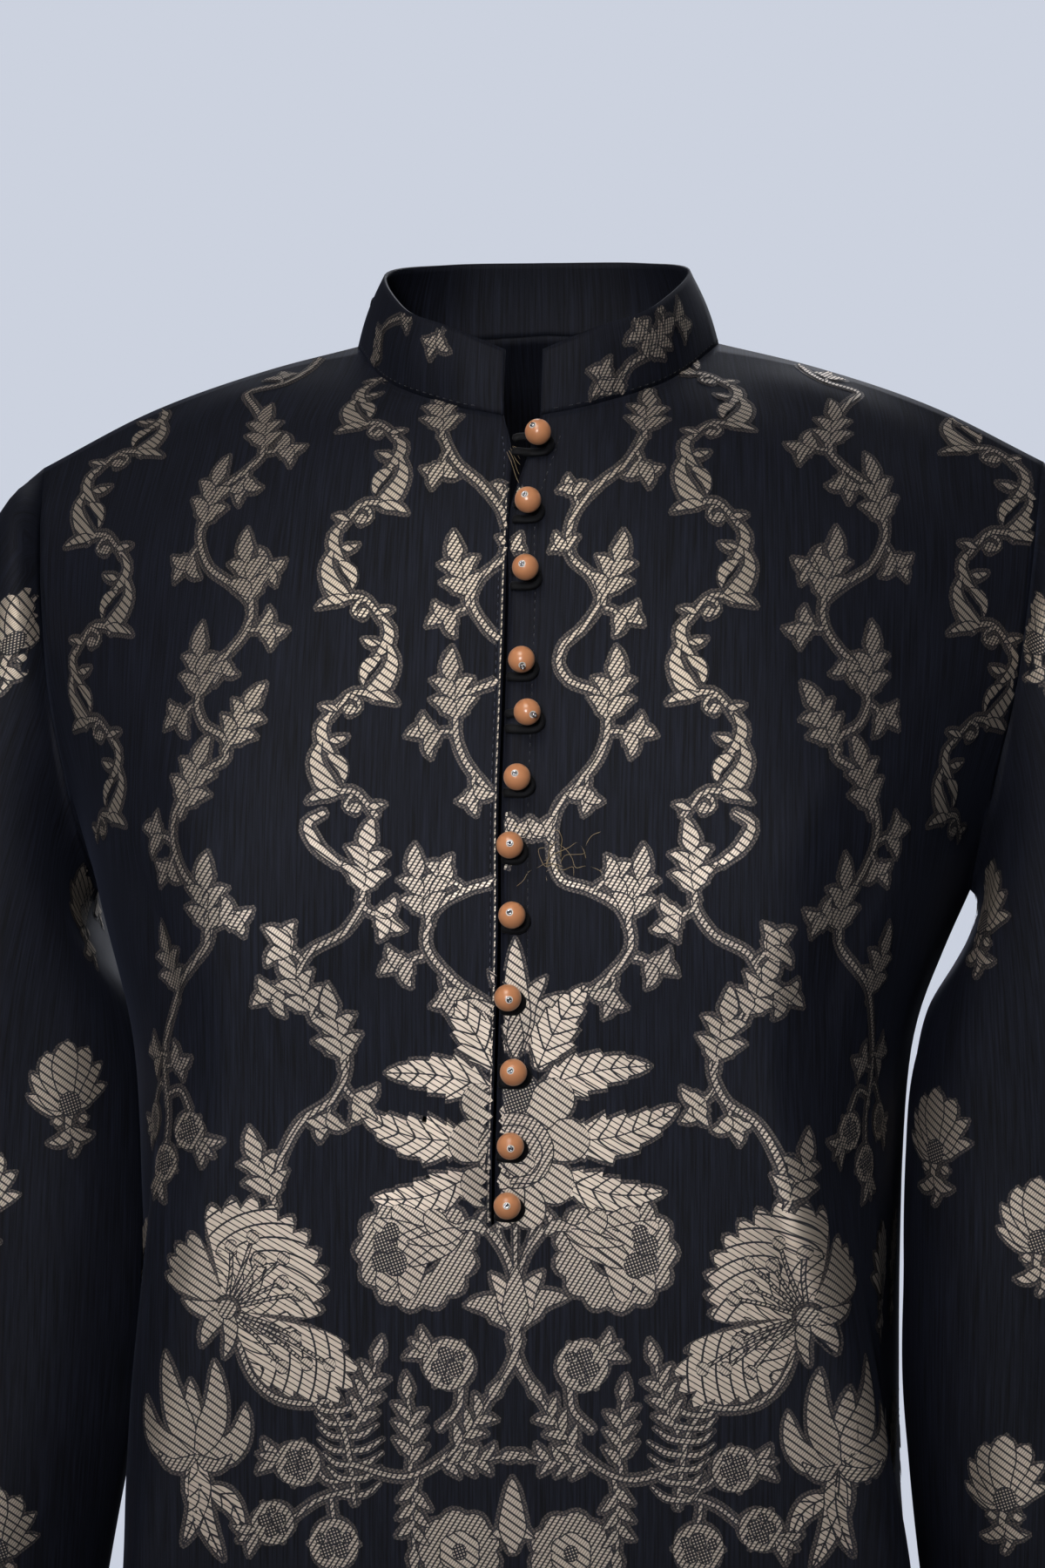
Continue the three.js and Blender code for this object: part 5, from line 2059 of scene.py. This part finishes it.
@dataclass
class LooseThreads:
    """Cut thread ends that the maker left: at the collar's end and caught beside the slit."""

    cloth: ClothMap
    seed: int = 7
    radius: float = 0.09

    def build(self, thread: Material) -> Mesh:
        """Makes a small tangle of fine threads."""
        chance = np.random.default_rng(self.seed)
        bm = bmesh.new()
        for _ in range(9):
            start = np.array([19.0, -196.0]) + chance.normal(0, (4, 7))
            count = int(chance.integers(5, 8))
            heading = chance.uniform(0, 2 * math.pi)
            spots = [start]
            for _step in range(count):
                heading += chance.normal(0, 0.9)
                spots.append(spots[-1] + 3.4 * np.array([math.cos(heading), math.sin(heading)]))
            self.lay(bm, np.array(spots), chance)
        for k in range(5):
            start = np.array([-2.6 - 0.5 * k, -43.5 - 0.8 * k])
            way = np.array([0.9, -1.0 - 0.3 * k])
            self.lay(bm, start + way * np.linspace(0, 3.2 + 0.5 * k, 5)[:, None], chance)
        return sewn("loose_threads", bm, thread)

    def lay(self, bm: Shape, spots: Array, chance: np.random.Generator) -> None:
        """Lays one thread on the cloth, lifting here and there."""
        line = trace(spots, 0.8)
        points, normals, on = self.cloth.find(line[:, 0], line[:, 1])
        lift = 0.9 + 0.6 * np.sin(np.linspace(0, 5, len(line)) + chance.uniform(0, 6))
        if on.all():
            add_cord(bm, points + normals * lift[:, None], normals, self.radius, self.radius, 4)


FRONT_CREASES = table(Crease, (
    (88, -256, 156, -480, 13, 3.6, 5, 0.2), (-116, -256, -168, -480, 12, 3.4, -4, -0.2),
    (118, -262, 172, -430, 10, -2.6, 3, 0.1), (-138, -262, -176, -410, 9, -2.4, -3, 0.1),
    (150, -176, 112, -262, 11, -3.0, 6, 0.3), (-154, -182, -120, -258, 10, -3.2, -6, 0.3),
    (128, -150, 96, -205, 9, 1.6, 4, 0.0), (-134, -146, -104, -214, 9, 1.5, -3, 0.0),
    (-52, -198, -40, -330, 15, -1.3, 3, 0.1), (66, -205, 52, -345, 16, -1.5, -4, 0.1),
    (-66, -430, -98, -905, 20, 4.2, 8, 0.25), (30, -505, 22, -955, 22, 3.2, -6, -0.2),
    (104, -470, 128, -940, 18, -4.4, 7, 0.2), (-128, -520, -152, -950, 19, -3.8, -5, -0.2),
    (-18, -610, -36, -950, 17, -2.8, 4, 0.1), (168, -560, 196, -940, 15, 3.4, 5, 0.2),
))
BACK_CREASES = table(Crease, (
    (-60, -250, -92, -560, 16, -3.6, 6, 0.2), (54, -262, 70, -520, 15, -3.0, -5, -0.1),
    (-4, -300, 8, -640, 20, 3.2, 5, 0.2), (108, -330, 136, -720, 17, 3.8, 6, -0.2),
    (-122, -350, -150, -800, 18, 3.4, -5, 0.2), (36, -560, 58, -940, 19, -4.2, 6, 0.2),
    (-44, -600, -70, -950, 18, -3.6, -6, -0.2), (-112, -95, -140, -190, 10, -2.4, 4, 0.2),
    (108, -100, 142, -184, 10, -2.6, -4, 0.2), (-10, -640, -14, -955, 16, 2.6, 4, 0.0),
))
LEFT_SLEEVE_CREASES = table(Crease, (
    (-52, -110, -8, -300, 12, -3.2, 5, 0.2), (-92, -190, -40, -380, 14, 3.4, -6, 0.2),
    (14, -150, 40, -330, 13, 2.6, 4, -0.2), (-70, -300, -16, -520, 13, -3.0, 6, 0.2),
    (60, -210, 96, -430, 14, -3.0, -5, 0.1), (-30, -400, 22, -590, 12, 2.4, 5, 0.2),
    (86, -380, 60, -580, 12, 2.6, 4, -0.2),
))
RIGHT_SLEEVE_CREASES = table(Crease, (
    (48, -104, 12, -290, 12, -3.0, -5, 0.2), (94, -205, 44, -400, 14, 3.2, 6, 0.2),
    (-18, -160, -44, -350, 13, 2.8, -4, -0.2), (66, -320, 20, -540, 13, -3.2, -5, 0.2),
    (-58, -230, -92, -450, 14, -2.8, 5, 0.1), (34, -420, -16, -595, 12, 2.2, -5, 0.2),
    (-88, -400, -62, -585, 12, 2.4, -4, -0.2),
))


@dataclass
class Trunk:
    """Front, back and collar of the shirt."""

    slit_lift: float = 2.2
    lift_reach: float = 3.0  # columns from the slit

    def front(self) -> ClothPiece:
        """The front, with its slit."""
        left = front_half(-1)
        right = front_half(1)
        slit = TRUNK_ROWS < SLIT_ROWS
        lift = self.slit_lift * ease(TRUNK_ROWS / 1.2) * slit * ease(SLIT_ROWS - TRUNK_ROWS)
        reach = np.exp(-((np.arange(left.shape[1]) / self.lift_reach) ** 2))
        left[..., 1] -= lift[:, None] * reach[None, :]
        grid = np.concatenate([left[:, ::-1], right], axis=1)
        middle = left.shape[1]
        halves = (list(range(middle - 1, -1, -1)), list(range(middle, 2 * middle)))
        rows = [0, *(s.row for s in FRONT_SECTIONS)]
        heights = [-32.0, *(s.slit[2] for s in FRONT_SECTIONS)]
        slit_low = float(along(rows, heights, [SLIT_ROWS])[0])
        return ClothPiece("front", grid, halves, slit_low=slit_low, creases=FRONT_CREASES)

    def back(self) -> ClothPiece:
        """The back, whole."""
        left = back_half(-1)
        right = back_half(1)
        grid = np.concatenate([right[:, ::-1], left[:, 1:]], axis=1)
        middle = right.shape[1] - 1
        halves = (list(range(middle, -1, -1)), list(range(middle, 2 * middle + 1)))
        return ClothPiece("back", grid, halves, creases=BACK_CREASES, anchor=0.0)

    def collar(self) -> Collar:
        """The stand collar."""
        return Collar("collar", collar_rows(), ([], []))


@dataclass
class Sleeve:
    """One long plain sleeve."""

    handed: int

    def piece(self) -> ClothPiece:
        """The sleeve, its seam under the arm."""
        rings = sleeve_rings(self.handed)
        turns = rings.shape[1] - 1
        half = turns // 2
        # from the seam under the arm round to it again, left to right as seen from outside
        order = [(half - self.handed * i) % turns for i in range(turns + 1)]
        grid = rings[:, order]
        halves = (list(range(half, -1, -1)), list(range(half, turns + 1)))
        name = "sleeve_right" if self.handed > 0 else "sleeve_left"
        creases = RIGHT_SLEEVE_CREASES if self.handed > 0 else LEFT_SLEEVE_CREASES
        return ClothPiece(name, grid, halves, creases=creases, anchor=0.0)


@dataclass
class Shirt:
    """The whole shirt: cut pieces with their brocade, then sewing, loops, pearls and threads."""

    ground: Material
    zari: dict[Fill, Material]

    def build(self) -> None:
        """Builds every piece in order and reports it."""
        brocade = Brocade()
        trunk = Trunk()
        front = trunk.front()
        weaver = Weaver(front, self.zari)
        trims = [*self.trims(front, weaver.map), self.hem_stitches(front, weaver.map, 20)]
        figure = brocade.front()
        # a thin line of gold shows where the slit's turned edge catches the figure
        levels = np.linspace(-62, front.slit_low + 2, 24)
        edge = np.stack([front.slit_at(levels)[0] - 1.0, levels], axis=1)
        figure.band(edge, [0.9] * 3, HATCH, 0, 0.0)
        self.sheet(front, weaver, figure, trims)
        back = trunk.back()
        weaver = Weaver(back, self.zari)
        self.sheet(back, weaver, brocade.back(), [self.hem_stitches(back, weaver.map, 20)])
        collar = trunk.collar()
        weaver = Weaver(collar, self.zari)
        self.sheet(collar, weaver, brocade.collar(), [self.collar_stitches(collar, weaver.map)])
        for handed in (-1, 1):
            sleeve = Sleeve(handed).piece()
            weaver = Weaver(sleeve, self.zari)
            self.sheet(sleeve, weaver, brocade.sleeve(handed), [self.hem_stitches(sleeve, weaver.map, 14)])

    def sheet(self, piece: ClothPiece, weaver: Weaver, figure: Figure, extra: list[Mesh]) -> None:
        made = piece.build(self.ground)
        strips = weaver.weave(figure)
        LOG.info("%s: %d strips of brocade in %d bindings", made.name, len(figure.blades), len(strips))

    def trims(self, front: ClothPiece, cloth: ClothMap) -> list[Mesh]:
        """Loops, pearls, the slit's stitches and the loose threads of the front."""
        cord = CordCloth("bias_cut_cotton_cord_painted_shade").build()
        pearl = (
            DyedPearl("dyed_imitation_pearl").build(),
            PlainFinish("pearl_white_core", "#e9e4dc", 0.5).build(),
            PlainFinish("silver_seed_bead", "#c9c9cc", 0.22, metallic=1.0).build(),
            PlainFinish("black_sewing_thread", "#0b0c10", 0.8).build(),
        )
        for number, way in enumerate(PEARL_HOLES, 1):
            ButtonLoop(number, cloth).build(cord)
            # two beads stand further out of their holes than the rest
            PearlButton(number, way, 1.3 if number in (4, 5) else 0.15).build(pearl)
        LOG.info("%d loops and pearls", len(PEARL_HOLES))
        blue = PlainFinish("blue_sewing_thread", "#1d2740", 0.65, sheen=0.3).build()
        dark = PlainFinish("navy_sewing_thread", THREAD_BLACK, 0.7, sheen=0.2).build()
        levels = np.linspace(-40, front.slit_low + 1.5, 40)
        left, right = front.slit_at(levels)
        near_loops = np.stack([left - 2.6, levels], axis=1)
        past_pearls = np.stack([right + 9.5, levels], axis=1)
        return [
            Stitching("slit_stitches", front, cloth).build([near_loops], blue),
            Stitching("slit_stitches_right", front, cloth).build([past_pearls], dark),
            LooseThreads(cloth).build(PlainFinish("loose_zari_yarn", "#a8946f", 0.55).build()),
        ]

    def hem_stitches(self, piece: ClothPiece, cloth: ClothMap, depth: float) -> Mesh:
        """The row of stitches that holds a turned-up hem."""
        dark = PlainFinish(f"hem_thread_{piece.name}", THREAD_BLACK, 0.7, sheen=0.2).build()
        row = piece.chart[-1, 2:-2:4] + np.array([0, depth])
        return Stitching(f"hem_stitches_{piece.name}", piece, cloth, pitch=3.4).build([row], dark)

    def collar_stitches(self, collar: ClothPiece, cloth: ClothMap) -> Mesh:
        """The top-stitching above the collar's seam."""
        dark = PlainFinish("collar_thread", THREAD_BLACK, 0.7, sheen=0.2).build()
        low = collar.chart[-1, 3:-3:4] + np.array([0, 1.6])
        return Stitching("collar_stitches", collar, cloth).build([low], dark)


@dataclass
class Studio:
    """Pale backdrop, soft lights and the camera at the photograph's angle."""

    azimuth: float = 5.0
    distance: float = 1.64
    aim_z: float = -0.166
    aim_right: float = -0.0049
    backdrop: str = PALE_GREY
    world_light: float = 0.08
    floor_z: float = -1.36
    floor_reach: float = 45.0

    def floor(self) -> None:
        """The pale floor, well below the hem; it shows but sends no light up to the shirt."""
        bm = bmesh.new()
        bmesh.ops.create_circle(bm, cap_ends=True, segments=64, radius=self.floor_reach)
        bmesh.ops.translate(bm, vec=(0, 0, self.floor_z), verts=bm.verts)
        mesh = bpy.data.meshes.new("floor")
        bm.to_mesh(mesh)
        bm.free()
        mesh.materials.append(PaintedFloor("matt_painted_floor").build())
        floor = bpy.data.objects.new("floor", mesh)
        floor.visible_diffuse = False
        floor.visible_glossy = False
        bpy.context.scene.collection.objects.link(floor)

    def world(self) -> None:
        """The pale backdrop, which lights the shirt less than it shows."""
        world = bpy.data.worlds.new("studio")
        world.use_nodes = True
        tree = world.node_tree
        background = tree.nodes["Background"]
        background.inputs["Color"].default_value = srgb(self.backdrop)
        seen = add_node(tree, "LightPath").outputs["Is Camera Ray"]
        strength = add_node(tree, "MapRange", {"Value": seen, "To Min": self.world_light, "To Max": 1.0})
        tree.links.new(strength.outputs["Result"], background.inputs["Strength"])
        bpy.context.scene.world = world

    def lamp(
        self, name: str, place: Point, aim: Point, size: float, power: float, spread: float, tint: str
    ) -> None:
        """Sets one soft square lamp.

        Args:
            name: the lamp's name.
            place: where it stands, in metres.
            aim: where it points.
            size: its side, in metres.
            power: in watts.
            spread: the angle of its beam, in degrees.
            tint: its colour.
        """
        data = bpy.data.lights.new(name, "AREA")
        data.shape = "SQUARE"
        data.size = size
        data.energy = power
        data.spread = math.radians(spread)
        data.color = srgb(tint)[:3]
        lamp = bpy.data.objects.new(name, data)
        lamp.location = place
        lamp.rotation_mode = "QUATERNION"
        lamp.rotation_quaternion = (Vector(aim) - Vector(place)).to_track_quat("-Z", "Y")
        bpy.context.scene.collection.objects.link(lamp)

    def build(self) -> None:
        """Sets world, floor, lamps and camera."""
        self.world()
        self.floor()
        bpy.context.scene.view_settings.view_transform = "Standard"
        self.lamp("key", (-0.3, -1.25, 1.25), (0, 0, -0.14), 0.8, 6.2, 125, "#fffaf4")
        self.lamp("front", (-0.2, -2.0, 0.1), (-0.02, 0, -0.21), 0.5, 0.6, 26, "#fbfaff")
        self.lamp("rear", (0.35, 2.3, 1.15), (0, 0, -0.25), 1.6, 20.0, 120, "#f4f7ff")
        angle = math.radians(self.azimuth)
        right = Vector((math.cos(angle), math.sin(angle), 0))
        ahead = Vector((-math.sin(angle), math.cos(angle), 0))
        data = bpy.data.cameras.new("camera")
        data.lens = 100.0
        data.sensor_width = 36.0
        camera = bpy.data.objects.new("camera", data)
        camera.location = self.aim_right * right - self.distance * ahead + Vector((0, 0, self.aim_z))
        camera.rotation_mode = "QUATERNION"
        camera.rotation_quaternion = ahead.to_track_quat("-Z", "Y")
        bpy.context.scene.collection.objects.link(camera)
        bpy.context.scene.camera = camera


def main() -> None:
    """Builds the pieces in order and reports each."""
    logging.basicConfig(level=logging.INFO, format="%(name)s: %(message)s")
    ground = JacquardGround("cotton_silk_jacquard_woven").build()
    zari = {fill: ZariWeft(f"gilt_zari_weft_{fill.value}", fill=fill).build() for fill in Fill}
    Shirt(ground, zari).build()
    Studio().build()
    LOG.info("studio ready")


if __name__ == "__main__":
    main()
